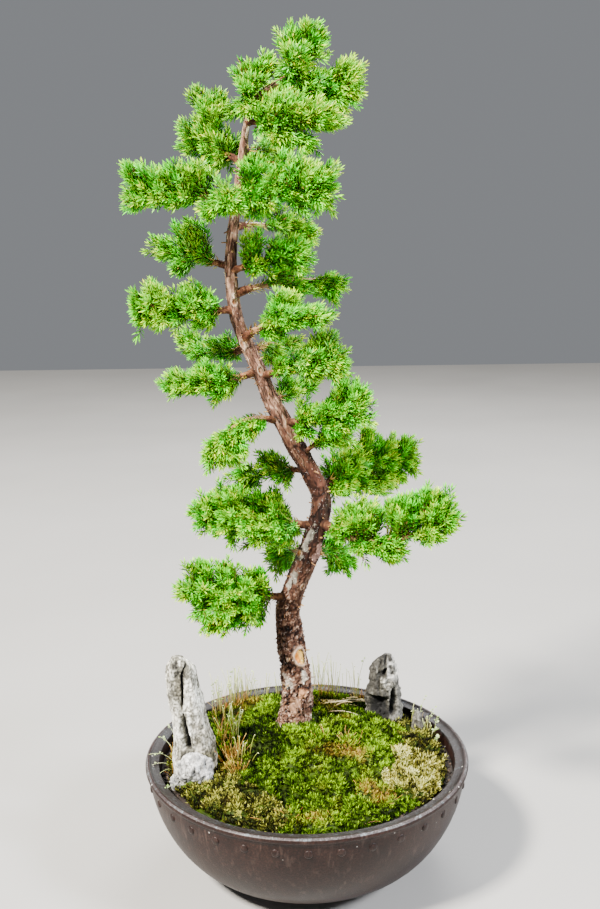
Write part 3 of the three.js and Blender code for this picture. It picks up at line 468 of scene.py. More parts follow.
def add(tree, kind, inputs=(), stops=(), **settings):
    """Adds a node: `inputs` maps its sockets to values or to what feeds them, `stops` are a
    ramp's places and colours, and `settings` are its properties."""
    node = tree.nodes.new("ShaderNode" + kind)
    for name, value in settings.items():
        setattr(node, name, value)
    for i, (place, colour) in enumerate(stops):
        stop = node.color_ramp.elements[i] if i < 2 else node.color_ramp.elements.new(place)
        stop.position, stop.color = place, colour
    for socket, value in dict(inputs).items():
        if isinstance(value, bpy.types.NodeSocket):
            tree.links.new(value, node.inputs[socket])
        else:
            node.inputs[socket].default_value = value
    return node


def blank(name):
    """A material with no nodes yet, its tree, and the sockets for place and tint."""
    material = bpy.data.materials.new(name)
    material.use_nodes = True
    tree = material.node_tree
    tree.nodes.clear()
    place = add(tree, "TexCoord").outputs["Object"]
    tint = add(tree, "Attribute", attribute_name="tint").outputs["Color"]
    return material, tree, place, tint


def finish(tree, colour, roughness, bump=None, distance=0.3, specular=0.5):
    """A principled shader, with a bump of `distance` millimetres."""
    inputs = {"Base Color": colour, "Roughness": roughness, "Specular IOR Level": specular}
    if bump is not None:
        inputs["Normal"] = add(tree, "Bump", {
            "Strength": 1.0, "Distance": distance * MM, "Height": bump}).outputs["Normal"]
    shader = add(tree, "BsdfPrincipled", inputs)
    add(tree, "OutputMaterial", {"Surface": shader.outputs[0]})


def per(millimetres):
    """The scale of a pattern whose features are that wide."""
    return 1 / (millimetres * MM)


def pattern(tree, place, width, detail=3.0, stretch=(1, 1, 1)):
    """Noise about `width` millimetres wide, its coordinates first multiplied by `stretch`."""
    mapped = add(tree, "Mapping", {"Vector": place, "Scale": stretch}).outputs[0]
    return add(tree, "TexNoise", {"Vector": mapped, "Scale": per(width), "Detail": detail,
                                  "Roughness": 0.6}).outputs["Fac"]


def grained(tree, colour, share, stops):
    """The colour, made darker and lighter by a ramp along a pattern's share."""
    ramp = add(tree, "ValToRGB", {0: share}, [(stop, (*shade, 1)) for stop, shade in stops])
    return add(tree, "Mix", {0: 1.0, 6: colour, 7: ramp.outputs[0]}, **TIMES).outputs[2]


def clumps_of_dots(tree, place, spacing, edge, middle, width, detail):
    """Share of round dots a spacing apart, in millimetres, that fade between two distances from
    their middles, in spacings, and show only where noise of the given width is high."""
    dots = add(tree, "TexVoronoi", {"Vector": place, "Scale": per(spacing), "Randomness": 1.0})
    dot = add(tree, "MapRange", {0: dots.outputs["Distance"], 1: edge, 2: middle}).outputs[0]
    some = add(tree, "MapRange", {0: pattern(tree, place, width, detail), 1: 0.46, 2: 0.6})
    return add(tree, "Math", {0: dot, 1: some.outputs[0]}, operation="MULTIPLY").outputs[0]


def mica_plastic():
    """Mica and plastic composite, moulded with a matt skin: dark red-brown, cloudy, with upright
    wipe marks, a fine pale dust in its grain, and white dots of hard water near the rim. The tint
    on the surface, in steps of POT_TINT, darkens it as painted shade on the feet and inside,
    lightens the studs as a painted highlight, lightens the bead's crest as wear and a painted
    highlight, and greys the rim by wear."""
    material, tree, place, tint = blank("mica_plastic")
    cloud = pattern(tree, place, 26, 5)
    base = add(tree, "ValToRGB", {0: cloud}, [(0.3, rgba(0x150906)), (0.5, rgba(0x1C0E0A)),
                                              (0.72, rgba(0x261813))])
    dusty = grained(tree, base.outputs[0], pattern(tree, place, 1.3, 4),
                    [(0.36, (0.55, 0.55, 0.55)), (0.52, (1, 1, 1)), (0.72, (2.4, 2.4, 2.5))])
    streak = pattern(tree, place, 4, 4, (1, 1, 0.16))
    wiped = add(tree, "MapRange", {0: streak, 1: 0.56, 2: 0.78, 4: 0.4}).outputs[0]
    wiped = add(tree, "Mix", {0: wiped, 6: dusty, 7: rgba(0x5C4A42)}, **OVER).outputs[2]
    # The surface tint: painted shade, painted highlights and wear.
    retint = add(tree, "VectorMath", {0: tint, "Scale": 1 / POT_TINT}, operation="SCALE").outputs[0]
    shaded = add(tree, "Mix", {0: 1.0, 6: wiped, 7: retint}, **TIMES).outputs[2]
    height = add(tree, "SeparateXYZ", {0: place}).outputs[2]
    near_rim = add(tree, "MapRange", {
        0: height, 1: (RIM_HEIGHT - 22) * MM, 2: (RIM_HEIGHT - 2) * MM}).outputs[0]
    dots = clumps_of_dots(tree, place, 7, 0.11, 0.05, 16, 2)
    dots = add(tree, "Math", {0: dots, 1: near_rim}, operation="MULTIPLY").outputs[0]
    crusted = add(tree, "Mix", {0: dots, 6: shaded, 7: rgba(0xE8E4DC)}, **OVER).outputs[2]
    gloss = add(tree, "MapRange", {0: cloud, 3: 0.36, 4: 0.52}).outputs[0]
    finish(tree, crusted, gloss, pattern(tree, place, 0.9, 3), 0.12, 0.2)
    return material


def woven_plastic():
    """Black polyethylene thread, woven: dull, slightly waxy."""
    material, tree, place, _ = blank("woven_plastic")
    shade = add(tree, "ValToRGB", {0: pattern(tree, place, 3)},
                [(0.3, rgba(0x161716)), (0.7, rgba(0x2B2D2B))])
    finish(tree, shade.outputs[0], 0.7)
    return material


def wet_grit():
    """Damp bonsai mix of crushed lava and bark: nearly black brown, with lighter grains."""
    material, tree, place, tint = blank("wet_grit")
    shade = grained(tree, tint, pattern(tree, place, 1.6, 4),
                    [(0.35, (0.5, 0.5, 0.5)), (0.7, (1.5, 1.45, 1.4))])
    finish(tree, shade, 0.85, pattern(tree, place, 0.9, 3), 0.4)
    return material


def leaf(name, roughness, specular=0.5):
    """Living leaf: its colour lies on the surface, mottled a little from leaf to leaf."""
    material, tree, place, tint = blank(name)
    shade = grained(tree, tint, pattern(tree, place, 2.2, 2),
                    [(0.3, (0.82, 0.84, 0.8)), (0.7, (1.12, 1.1, 1.08))])
    finish(tree, shade, roughness, specular=specular)
    return material


def flaky_bark():
    """Juniper bark: dry, matt and fibrous, with fine lengthwise threads over its plates."""
    material, tree, place, tint = blank("flaky_bark")
    threads = pattern(tree, place, 1.1, 4, (1, 1, 0.25))
    shade = grained(tree, tint, threads, [(0.3, (0.7, 0.68, 0.66)), (0.72, (1.25, 1.24, 1.22))])
    finish(tree, shade, 0.85, threads, 0.35, 0.15)
    return material


def weathered_limestone():
    """Limestone, rain-worn: chalky and matt, with a fine upright grain and dark pits."""
    material, tree, place, tint = blank("weathered_limestone")
    shade = grained(tree, tint, pattern(tree, place, 1.5, 5, (1, 1, 0.45)),
                    [(0.36, (0.3, 0.3, 0.29)), (0.48, (0.85, 0.85, 0.84)),
                     (0.64, (1.35, 1.35, 1.35))])
    pits = clumps_of_dots(tree, place, 2.6, 0.3, 0.1, 9, 3)
    pitted = add(tree, "Mix", {0: pits, 6: shade, 7: rgba(0x4A4943)}, **OVER).outputs[2]
    finish(tree, pitted, 0.9, pattern(tree, place, 1.3, 4), 0.6)
    return material


# ---- Pot ----


def bowl_curve(low, high, steps):
    """Radius and height from low to high: the height rises as the step squared, and the radius
    swells as the root of 1 less (1 less the height's share) to the bowl's fullness."""
    share = np.linspace(0, 1, steps) ** 2
    swell = np.sqrt(1 - (1 - share) ** BOWL_FULLNESS)
    return np.array(low) + (np.array(high) - low) * points(swell, share)


def wall_radius(height):
    """The bowl's outer radius at a height, from the same curve."""
    share = (height - FOOT_HEIGHT) / (RIM_HEIGHT - 2 * BEAD_RADIUS - FOOT_HEIGHT)
    return BASE_RADIUS + (SHOULDER_RADIUS - BASE_RADIUS) * (1 - (1 - share) ** BOWL_FULLNESS) ** 0.5


def arc(centre, radius, start, end, steps):
    """Points of a circle, between two angles in degrees."""
    angle = np.radians(np.linspace(start, end, steps))
    return np.array(centre) + radius * points(np.cos(angle), np.sin(angle))


def build_pot():
    """The bowl: one closed outline from the drainage hole out along the base, up the wall, round
    the bead, over the rim, which falls a little inwards, and down inside, turned about the axis.
    Its tint is lighter on the bead's crest, as wear and a painted highlight, and on the rim, and
    darker inside, as painted shade."""
    floor = FOOT_HEIGHT + FLOOR
    lip_top = RIM_HEIGHT - RIM_FALL
    parts = [
        [(HOLE_RADIUS, FOOT_HEIGHT), (HOLE_RADIUS + 20, FOOT_HEIGHT)],
        bowl_curve((BASE_RADIUS, FOOT_HEIGHT), (SHOULDER_RADIUS, RIM_HEIGHT - 2 * BEAD_RADIUS),
                   WALL_ROWS),
        arc((SHOULDER_RADIUS, RIM_HEIGHT - BEAD_RADIUS), BEAD_RADIUS, -80, 130, BEAD_ROWS),
        [(SHOULDER_RADIUS - BEAD_RADIUS, RIM_HEIGHT - 1.0), (SHOULDER_RADIUS - 4.5, lip_top + 0.4)],
        arc((LIP_RADIUS + LIP_EDGE, lip_top - LIP_EDGE), LIP_EDGE, 80, 180, 5),
        bowl_curve((BASE_RADIUS - WALL, floor), (LIP_RADIUS, RIM_HEIGHT - LIP_HEIGHT),
                   INSIDE_ROWS)[::-1],
        [(HOLE_RADIUS + 1, floor), (HOLE_RADIUS, floor - 1)],
    ]
    grid = turned(np.concatenate(parts), POT_COLUMNS)
    grid[..., 2] += 0.2 * noise(grid, 55, 3) * smooth((grid[..., 2] - 40) / 40)
    rows, columns, _ = grid.shape
    bead, rim, _, inside = np.cumsum([len(part) for part in parts])[1:5]
    retint = np.ones((rows, 1, 3))
    # Painted highlight, with wear, on the bead's crest.
    retint[bead + HIGHLIT_WORN_CREST[0]:bead + HIGHLIT_WORN_CREST[1]] = CREST_HIGHLIGHT_AND_WEAR
    retint[rim - 3:inside] = RIM_WEAR
    # Painted shade inside the bowl.
    retint[inside:] = INSIDE_PAINTED_SHADE
    tint = retint * (1 + 0.3 * rough(grid, 14, 5, 3) * (retint.max(-1) > 2))[..., None]
    here = np.arange(rows * columns).reshape(rows, columns)
    after, up = np.roll(here, -1, 1), np.roll(here, -1, 0)
    up_after = np.roll(up, -1, 1)
    faces = np.concatenate(quads(here, after, up_after, up))
    bowl = grid.reshape(-1, 3), faces, tint.reshape(-1, 3) * POT_TINT
    piece("pot_bowl", merged(bowl, pot_feet()), mica_plastic(), "pot", "pot")
    piece("pot_studs", pot_studs(), bpy.data.materials["mica_plastic"], "pot", "pot")


def pot_feet():
    """Short round feet: a rounded sole and a wall that widens up into the base."""
    outline = np.array([(FOOT_SOLE - 1.5, 0), (FOOT_SOLE - 0.4, 0.2), (FOOT_SOLE, 0.9),
                        (FOOT_TOP - 0.3, FOOT_HEIGHT), (FOOT_TOP, FOOT_HEIGHT + FOOT_SUNK)])
    rings = np.repeat(turned(outline, 32)[None], FEET, 0)
    angle = FIRST_FOOT + evenly(FEET)
    rings[..., 0] += FOOT_RING * np.cos(angle)[:, None, None]
    rings[..., 1] += FOOT_RING * np.sin(angle)[:, None, None]
    # The feet are painted darker, as shade under the bowl.
    return closed_skins(rings, FOOT_PAINTED_SHADE * POT_TINT)


def pot_studs():
    """Nail heads round the wall: each a low dome, its radius by the sine of an angle and its rise
    by the cosine to the power 0.8, on a short skirt that sinks into the wall."""
    steps = np.linspace(1, 0.05, 7) * TURN / 4
    radius, out = STUD_RADIUS * np.sin(steps), STUD_RISE * np.cos(steps) ** 0.8
    radius, out = np.append(STUD_RADIUS, radius), np.append(-1.2, out)
    turn = evenly(20)
    angle = (np.arange(STUDS) + 0.5) * TURN / STUDS
    facing = points(np.cos(angle), np.sin(angle), 0)[:, None, None]
    along = points(-np.sin(angle), np.cos(angle), 0)[:, None, None]
    centre = facing * (wall_radius(STUD_HEIGHT) - 0.15) + np.array([0, 0, STUD_HEIGHT])
    ring = radius[:, None, None]
    rings = (centre + facing * out[:, None, None] + along * ring * np.cos(turn)[:, None]
             + np.array([0, 0, 1]) * ring * np.sin(turn)[:, None])
    # The studs are painted lighter and cooler than the wall, as their highlight.
    return closed_skins(rings, np.array(STUD_PAINTED_HIGHLIGHT) * POT_TINT)


def build_screen():
    """A woven square over the drainage hole: threads both ways, each a sine wave that passes
    over and under those it crosses."""
    spacing = (SCREEN_WIDTH - 2 * THREAD_RADIUS) / (SCREEN_THREADS - 1)
    offset = (np.arange(SCREEN_THREADS) - (SCREEN_THREADS - 1) / 2) * spacing
    along = np.linspace(-SCREEN_WIDTH / 2, SCREEN_WIDTH / 2, 61)
    middle = FOOT_HEIGHT + FLOOR + CLEARANCE + 2 * THREAD_RADIUS
    skins = []
    for crossing in (0, 1):
        parity = (np.arange(SCREEN_THREADS) + crossing) % 2 * np.pi
        wave = THREAD_RADIUS * 0.95 * np.cos(along * np.pi / spacing + parity[:, None])
        order = (offset[:, None], along) if crossing else (along, offset[:, None])
        paths = points(*order, middle + wave)
        rings = around_paths(paths, np.full(wave.shape, THREAD_RADIUS), 6)
        skins.append(closed_skins(rings, 0.1))
    piece("drain_mesh", merged(*skins), woven_plastic(), "drain_screen", "drain_screen")


# ---- Soil ----


def soil_height(radius):
    """Level near the wall, then a straight slope up to a flat top."""
    share = (SOIL_LEVEL_RADIUS - radius) / (SOIL_LEVEL_RADIUS - SOIL_TOP_RADIUS)
    return SOIL_EDGE + (SOIL_TOP - SOIL_EDGE) * np.clip(share, 0, 1)


def inner_radius(height):
    """The bowl's inner radius at a height."""
    curve = bowl_curve((BASE_RADIUS - WALL, FOOT_HEIGHT + FLOOR),
                       (LIP_RADIUS, RIM_HEIGHT - LIP_HEIGHT), 60)
    return np.interp(height, curve[:, 1], curve[:, 0])


def grains(places, sizes, tints, seed):
    """Crumbs: eight-sided lumps, each stretched, turned and dented at random."""
    rng = np.random.default_rng(seed)
    shape = np.array([[1, 0, 0], [0, 1, 0], [-1, 0, 0], [0, -1, 0], [0, 0, 1], [0, 0, -1]], float)
    faces = np.array([[0, 1, 4], [1, 2, 4], [2, 3, 4], [3, 0, 4],
                      [1, 0, 5], [2, 1, 5], [3, 2, 5], [0, 3, 5]])
    count = len(places)
    axes = np.linalg.qr(rng.normal(size=(count, 3, 3)))[0]
    axes[..., 0] *= np.linalg.det(axes)[:, None]
    dents = rng.uniform(0.6, 1.25, (count, 6, 1))
    corners = np.einsum("nij,nkj->nki", axes, shape * dents) * sizes[:, None, None]
    corners = (corners + places[:, None]).reshape(-1, 3)
    return corners, copies(faces, count, 6), np.repeat(tints, 6, axis=0)


def build_soil():
    """The soil ball: the bowl's inside less a clearance, with a top of noise over its cone, and
    loose grains where the moss leaves it bare."""
    floor = FOOT_HEIGHT + FLOOR + CLEARANCE
    heights = np.linspace(floor, SOIL_EDGE - 0.5, 9)
    wall = points(inner_radius(heights) - CLEARANCE - 0.4, heights)
    reach = np.linspace(wall[-1, 0] - 0.4, 2, 58)
    top = points(reach, soil_height(reach))
    grid = turned(np.concatenate([[(20, floor)], wall, top]), SOIL_COLUMNS)
    loose = slice(len(wall) + 1, None)
    grid[loose, :, 2] += 0.9 * rough(grid[loose], 5, 11)
    dark = pick([0x15100C, 0x2C211A], 0.5 + 0.5 * noise(grid, 4, 12))
    rng = np.random.default_rng(5)
    count = SOIL_GRAINS
    radius = rng.uniform(BARE_SOIL, inner_radius(SOIL_EDGE) - 2.5, count)
    angle = rng.uniform(0, TURN, count)
    places = points(radius * np.cos(angle), radius * np.sin(angle),
                    soil_height(radius) + rng.uniform(-0.3, 1.1, count))
    shades = pick([0x120D0A, 0x30241B, 0x4A3A2C, 0x7A6A58], rng.random(count) ** 2)
    crumbs = grains(places, rng.uniform(0.7, 1.9, count), shades, 6)
    piece("soil_ball", merged(closed_skins(grid[None], dark[None]), crumbs), wet_grit(), "soil",
          "soil")


# ---- Moss ----


# Furrows and holes in the moss: a line from x, y to x, y, its half width and its depth.
FURROWS = [(-26, 12, -24, 22, 4.5, 10), (8, 14, 10, 27, 4.5, 10), (2, -42, 7, -42, 3.5, 6),
           (46, -29, 64, -60, 3, 5.5), (-19, -48, -16, -84, 3.5, 5), (-72, 50, -60, 60, 11, 6),
           (82, 38, 88, 46, 7, 8), (-44, -14, -30, -16, 6, 3), (16, -30, 30, -34, 5, 2.5)]
# Spots in the moss: x, y, radius, how much lighter than the rest, and how golden. The darker spots
# are partly darker moss and partly painted shade, where the moss lies in deep shade.
SPOTS = [(-38, 0, 17, -0.5, 0), (-33, -25, 13, -0.55, 0), (-67, 56, 20, -0.6, 0.3),
         (-5, -12, 17, 0.28, 0), (60, -9, 21, 0.3, 0), (-25, -43, 12, 0.2, 0),
         (5, -76, 22, 0.08, 0), (21, -22, 12, -0.1, 0.75), (39, -25, 12, 0.0, 0.95),
         (52, -67, 13, 0.1, 0.8), (9, -99, 12, 0.05, 0.5), (-59, -30, 12, -0.2, 0.8),
         (-57, 88, 20, -0.15, 0.8), (-17, -66, 9, -0.6, 0), (104, 45, 14, -0.5, 0),
         (22, 62, 26, -0.25, 0.5), (-106, -6, 12, -0.3, 0.7)]


# Ovals where the stones and the trunk stand: centre x, y, and half widths.
STANDS = [(-89, -31, 16, 12), (-87, -41, 16, 7), (66, 61, 16, 12.5), (95, 40, 7.5, 6.5),
          (-9, 22, 13.2, 13.2)]
# Patches of moss along the pot's edge: from and to, in degrees, and the inner radius.
OLIVE_PATCH, PALE_PATCH, SPECKLED_PATCH = (192, 261, 74), (322, 358, 72), (318, 405, 84)


def furrow_depth(x, y):
    """How deep the furrows cut: for each, its depth times a bell curve of the distance to its
    line over its half width."""
    rows = np.array(FURROWS, float)
    start, line = rows[:, :2], rows[:, 2:4] - rows[:, :2]
    place = points(x, y)[..., None, :] - start
    share = np.clip((place * line).sum(-1) / (line ** 2).sum(-1), 0, 1)[..., None]
    away = np.linalg.norm(place - share * line, axis=-1)
    return (rows[:, 5] * np.exp(-(away / rows[:, 4]) ** 2)).sum(-1)


def moss_bed(x, y):
    """Height of the moss's ground: a bell-shaped mound over its edge height, round cushions with
    creases between them, the furrows, and an edge that rolls down."""
    from_crest = np.hypot(x - MOSS_CREST[0], y - MOSS_CREST[1])
    mound = (MOSS_CREST_HEIGHT - MOSS_EDGE_HEIGHT) * np.exp(-(from_crest / MOSS_SPREAD) ** 2)
    places = points(x, y, 0)
    warp = 0.22 * points(noise(places, 15, 21), noise(places, 15, 22))
    edge, _, luck = chips((x / CUSHION + warp[..., 0]) / 4096, y / CUSHION + warp[..., 1], 4096, 23)
    cushion = CUSHION_RISE * smooth(edge / 0.6) * (0.4 + 0.6 * luck[..., 0]) - CREASE
    rim = MOSS_ROLL * smooth((np.hypot(x, y) - 100) / 12)
    bed = MOSS_EDGE_HEIGHT + mound + cushion - furrow_depth(x, y) - rim + 0.9 * noise(places, 6, 25)
    return np.maximum(bed, soil_height(np.hypot(x, y)) + 0.5)


def inside_patch(x, y, start, end, inner):
    """How far inside a patch each place is, in millimetres, with a ragged border: the least of
    its distances to the two directions, in degrees, and to the inner radius."""
    angle = np.degrees(np.arctan2(y, x))
    away = np.hypot(x, y)
    middle, half = (start + end) / 2, (end - start) / 2
    turn = half - np.abs((angle - middle + 180) % 360 - 180)
    places = points(x, y, 0)
    return np.minimum(np.radians(turn) * away, away - inner) + 9 * rough(places, 16, 31, 3)


def bare_places(x, y):
    """Where stones stand and where the trunk comes through, so that nothing grows there."""
    return np.any([np.hypot((x - cx) / rx, (y - cy) / ry) < 1 for cx, cy, rx, ry in STANDS], 0)


MOSSES = {
    # name: leaf colours from dark to light, leaf length, and how far the leaves spread
    "bright": ([0x0A1202, 0x1C3002, 0x365602, 0x5E8A04, 0xA0D00C], 2.8, 0.8),
    "olive": ([0x060702, 0x161703, 0x30310A, 0x64661C, 0xC0C252], 2.7, 1.0),
    "pale": ([0x141403, 0x4A480E, 0xA09C38, 0xE8E678, 0xFFFFA8], 2.8, 1.1),
}
GOLDEN_LEAVES = [0x2A1E06, 0x5E4A12, 0x987626, 0xD0B050]


def moss_leaves(x, y, kind, seed):
    """A sprig on each place: eight pointed leaves up a short stalk, one straight up the middle and
    the rest turned by the golden angle, lower leaves leaning further out. Sprigs are painted
    lighter on the moss's rises and darker in its hollows, and each leaf is painted near black at
    its root, as shade."""
    rng = np.random.default_rng(seed)
    codes, length, spread = MOSSES[kind]
    count, leaves = len(x), SPRIG_LEAVES
    step = 1.5
    slope = points(moss_bed(x - step, y) - moss_bed(x + step, y),
                   moss_bed(x, y - step) - moss_bed(x, y + step), 2 * step)
    up = unit(slope * (0.7, 0.7, 1) + rng.normal(0, 0.5, (count, 3)))
    root = points(x, y, moss_bed(x, y) - 0.6)
    side = unit(np.cross(up, rng.normal(size=(count, 3))))
    order = np.arange(leaves)
    turn = (rng.uniform(0, TURN, (count, 1)) + order * GOLDEN_ANGLE
            + rng.normal(0, 0.3, (count, leaves)))
    out = swung(side[:, None], np.cross(up, side)[:, None], turn)
    grown = length * rng.uniform(0.6, 1.35, (count, 1))
    lean = np.where(order == 0, 0.1, spread * (0.55 + 0.7 * order / leaves))
    lean = lean + rng.normal(0, 0.12, (count, leaves))
    size = grown * np.where(order == 0, 1.0, rng.uniform(0.75, 1.1, (count, leaves)))
    climb = (1.7 * (1 - order / leaves) * grown / length)[..., None]
    places = points(x, y, 0)
    spots = np.array(SPOTS, float)
    near = np.exp(-np.hypot(x[:, None] - spots[:, 0], y[:, None] - spots[:, 1]) ** 2
                  / spots[:, 2] ** 2)
    # Painted light: lighter where the bed rises above its neighbours, darker in its hollows, as
    # shade.
    painted_light_by_rise = moss_bed(x, y) - np.mean([moss_bed(x + 7 * c, y + 7 * s) for c, s in
                                     ((1, 0), (0, 1), (-1, 0), (0, -1))], axis=0)
    light = (0.46 + near @ spots[:, 3] + 0.16 * rough(places, 15, 41, 2) + 0.15 * painted_light_by_rise
             + 0.26 * noise(places, 4, 42) + rng.normal(0, 0.17, count))
    share = light[:, None] + rng.normal(0, 0.25, (count, leaves))
    gold = smooth(1.5 * (near @ spots[:, 4] + 0.3 * noise(places, 11, 43))
                  * rng.uniform(0.3, 1, count))
    tip = blend(pick(codes, share), pick(GOLDEN_LEAVES, share + 0.1), gold[:, None] * 0.85)
    # Each leaf is painted near black at its root, as shade among the sprigs.
    return blades(root[:, None] + up[:, None] * climb, up[:, None], out, size, lean,
                  size * 0.36, tip * 0.15, tip, 0.12, 0.45)


def sunflower(count, radius, rng):
    """Places spread evenly over a disc: radius by the root of the number, turn by the golden
    angle, each moved a little."""
    order = np.arange(count) + 0.5
    away, angle = radius * np.sqrt(order / count), order * GOLDEN_ANGLE
    spread = 0.45 * radius / np.sqrt(count)
    return (away * np.cos(angle) + rng.normal(0, spread, count),
            away * np.sin(angle) + rng.normal(0, spread, count))


def build_moss():
    """The mound's ground with its rolled edge, and the sprigs of each kind of moss."""
    rng = np.random.default_rng(8)
    rows, columns = MOSS_GRID
    shares, angle = np.linspace(0.01, 1, rows), evenly(columns)
    edge = MOSS_RADIUS + 4 * np.sin(5 * angle) * np.sin(2 * angle)
    radius = shares[:, None] * edge
    x, y = radius * np.cos(angle), radius * np.sin(angle)
    top = points(x, y, moss_bed(x, y))
    under = top[::-6].copy()
    under[..., 2] = soil_height(np.hypot(under[..., 0], under[..., 1])) + 2 * CLEARANCE
    grid = np.concatenate([top, under])[::-1]
    ground = pick([0x141C04, 0x243206, 0x3A500C], 0.5 + 0.5 * noise(grid, 5, 44))
    # Moss leaves: thin and matt.
    moss = leaf("moss_leaf", 0.6, 0.08)
    piece("moss_ground", closed_skins(grid[None], ground[None]), moss, "moss_bright",
          "moss_bright", "moss_olive_left", "moss_pale_right")
    x, y = sunflower(MOSS_SPRIGS, MOSS_RADIUS + 2, rng)
    grows = ~bare_places(x, y) & (furrow_depth(x, y) < rng.uniform(1.5, 5.5, len(x)))
    x, y = x[grows], y[grows]
    olive = inside_patch(x, y, *OLIVE_PATCH) > 0
    pale = inside_patch(x, y, *PALE_PATCH) > 0
    speckled = (inside_patch(x, y, *SPECKLED_PATCH) > 0) & ~pale
    bright = ~(olive | pale | speckled)
    for name, mask, kind, slot, node in [
            ("olive", olive, "olive", "moss_olive", "moss_olive_left"),
            ("pale", pale, "pale", "moss_pale", "moss_pale_right"),
            ("speckled", speckled, "olive", "moss_pale", "moss_pale_right"),
            ("bright_left", bright & (x < -4), "bright", "moss_bright", "moss_bright"),
            ("bright_right", bright & (x >= -4), "bright", "moss_bright", "moss_bright")]:
        piece("moss_" + name, moss_leaves(x[mask], y[mask], kind, 50), moss, slot, node,
              soft_shade=False)


# ---- Stalks, straw and seedlings among the moss ----

STALK_RADIUS, SEEDLING_RADIUS = 0.26, 0.24
# Clumps of moss stalks: centre x, y, half widths across and along, number, height.
STALKS = [(-77, 76, 5, 6, 15, 33), (-66, 92, 6, 5, 22, 36), (-55, 95, 5, 5, 18, 35),
          (-40, 102, 9, 3, 8, 26), (-25, 104, 5, 3, 5, 24), (13, 105, 4, 3, 15, 38),
          (25, 104, 4, 3, 13, 38), (35, 104, 2, 2, 2, 29), (46, 101, 4, 3, 10, 37),
          (-58, 4, 5, 5, 7, 24), (-68, 30, 6, 8, 6, 22), (97, 56, 4, 4, 5, 22),
          (104, 30, 5, 8, 7, 13), (-106, 12, 4, 8, 7, 17), (-52, -30, 7, 7, 8, 16)]
# Clumps of dry stems: centre x, y, half widths across and along, number, height.
STRAW = [(-69, 5, 5, 6, 22, 20), (-60, -26, 5, 6, 42, 18), (-53, -41, 5, 5, 26, 13),
         (33, -8, 5, 8, 18, 8), (39, -24, 6, 6, 34, 8), (12, -8, 4, 5, 9, 9),
         (44, -67, 6, 4, 16, 6), (57, -74, 6, 5, 20, 6), (-113, 0, 2, 8, 14, 13),
         (-108, -24, 2, 6, 10, 10), (-70, 80, 7, 8, 36, 14), (-56, 88, 7, 7, 30, 14),
         (16, 98, 6, 5, 20, 15), (25, 63, 6, 6, 26, 7), (50, 96, 8, 4, 18, 15),
         (100, 54, 4, 4, 14, 14), (-14, -90, 20, 8, 8, 5), (20, -96, 18, 6, 8, 5)]
# Dry stems that lie over the moss: from x, y to x, y.
LYING = [(12, 56, 58, 93), (14, 60, 50, 84), (16, 54, 44, 70), (10, 62, 40, 88), (20, 52, 52, 78),
         (22, 66, 46, 92), (18, 36, 44, 45), (14, 50, 36, 58), (28, 58, 60, 80), (24, 48, 40, 60)]
# Seedlings: foot x, y, how far the top lies from it along x, y and z, and how many leaves.
SEEDLINGS = [(-107, -6, -20, -4, 11, 4), (-106, -2, -13, 2, 18, 4), (-108, -12, -18, -8, 6, 3),
             (-106, -20, -15, -16, 1, 3), (-104, 4, -10, 6, 22, 3), (-100, -44, -10, -12, 3, 3),
             (44, 89, 9, 2, 44, 2), (-72, 66, -6, 2, 36, 8), (-66, 72, 2, 2, 38, 8),
             (-78, 62, -3, 0, 31, 7), (97, 58, 6, 2, 27, 7), (103, 48, 8, 2, 20, 6),
             (108, 36, 3, 2, 17, 5), (104, 27, 6, -1, 9, 10), (108, 22, 3, 3, 8, 9),
             (-56, 3, 3, 0, 27, 3), (-60, 8, -5, 2, 20, 3), (-44, 96, -3, 0, 30, 4)]


def stems(roots, tops, sag, radius, tints, sides=4):
    """Thin stems from each root to its top, bent by `sag` sideways from straight, thinning by a
    third."""
    middle = (roots + tops) / 2 + sag
    share = np.linspace(0, 1, 7)
    paths = bezier(roots, middle, tops, share)
    radii = np.broadcast_to(radius, len(roots))[:, None] * (1 - 0.35 * share)
    low, high = tints
    colours = blend(low[:, None, None], high[:, None, None], share[:, None])
    return closed_skins(around_paths(paths, radii, sides), colours)


def clumped(clumps, rng, least, most, splay, sway):
    """Feet on the moss bed, scattered round each clump, and how far the top of each stem lies
    from its foot: up by a share, from least to most, of the clump's height, and outwards by the
    splay times its distance from the clump's middle, plus a random sway."""
    rows = np.repeat(np.array(clumps, float), [clump[4] for clump in clumps], axis=0)
    off = rng.normal(0, 0.6, (len(rows), 2)) * rows[:, 2:4]
    foot = rows[:, :2] + off
    away = np.hypot(*foot.T)
    foot *= (np.minimum(away, MOSS_RADIUS - 1) / away)[:, None]
    height = rows[:, 5:] * rng.uniform(least, most, (len(rows), 1))
    aside = off * splay + rng.normal(0, sway, (len(rows), 2)) * height
    return points(*foot.T, moss_bed(*foot.T) - 1), np.concatenate([aside, height], 1)


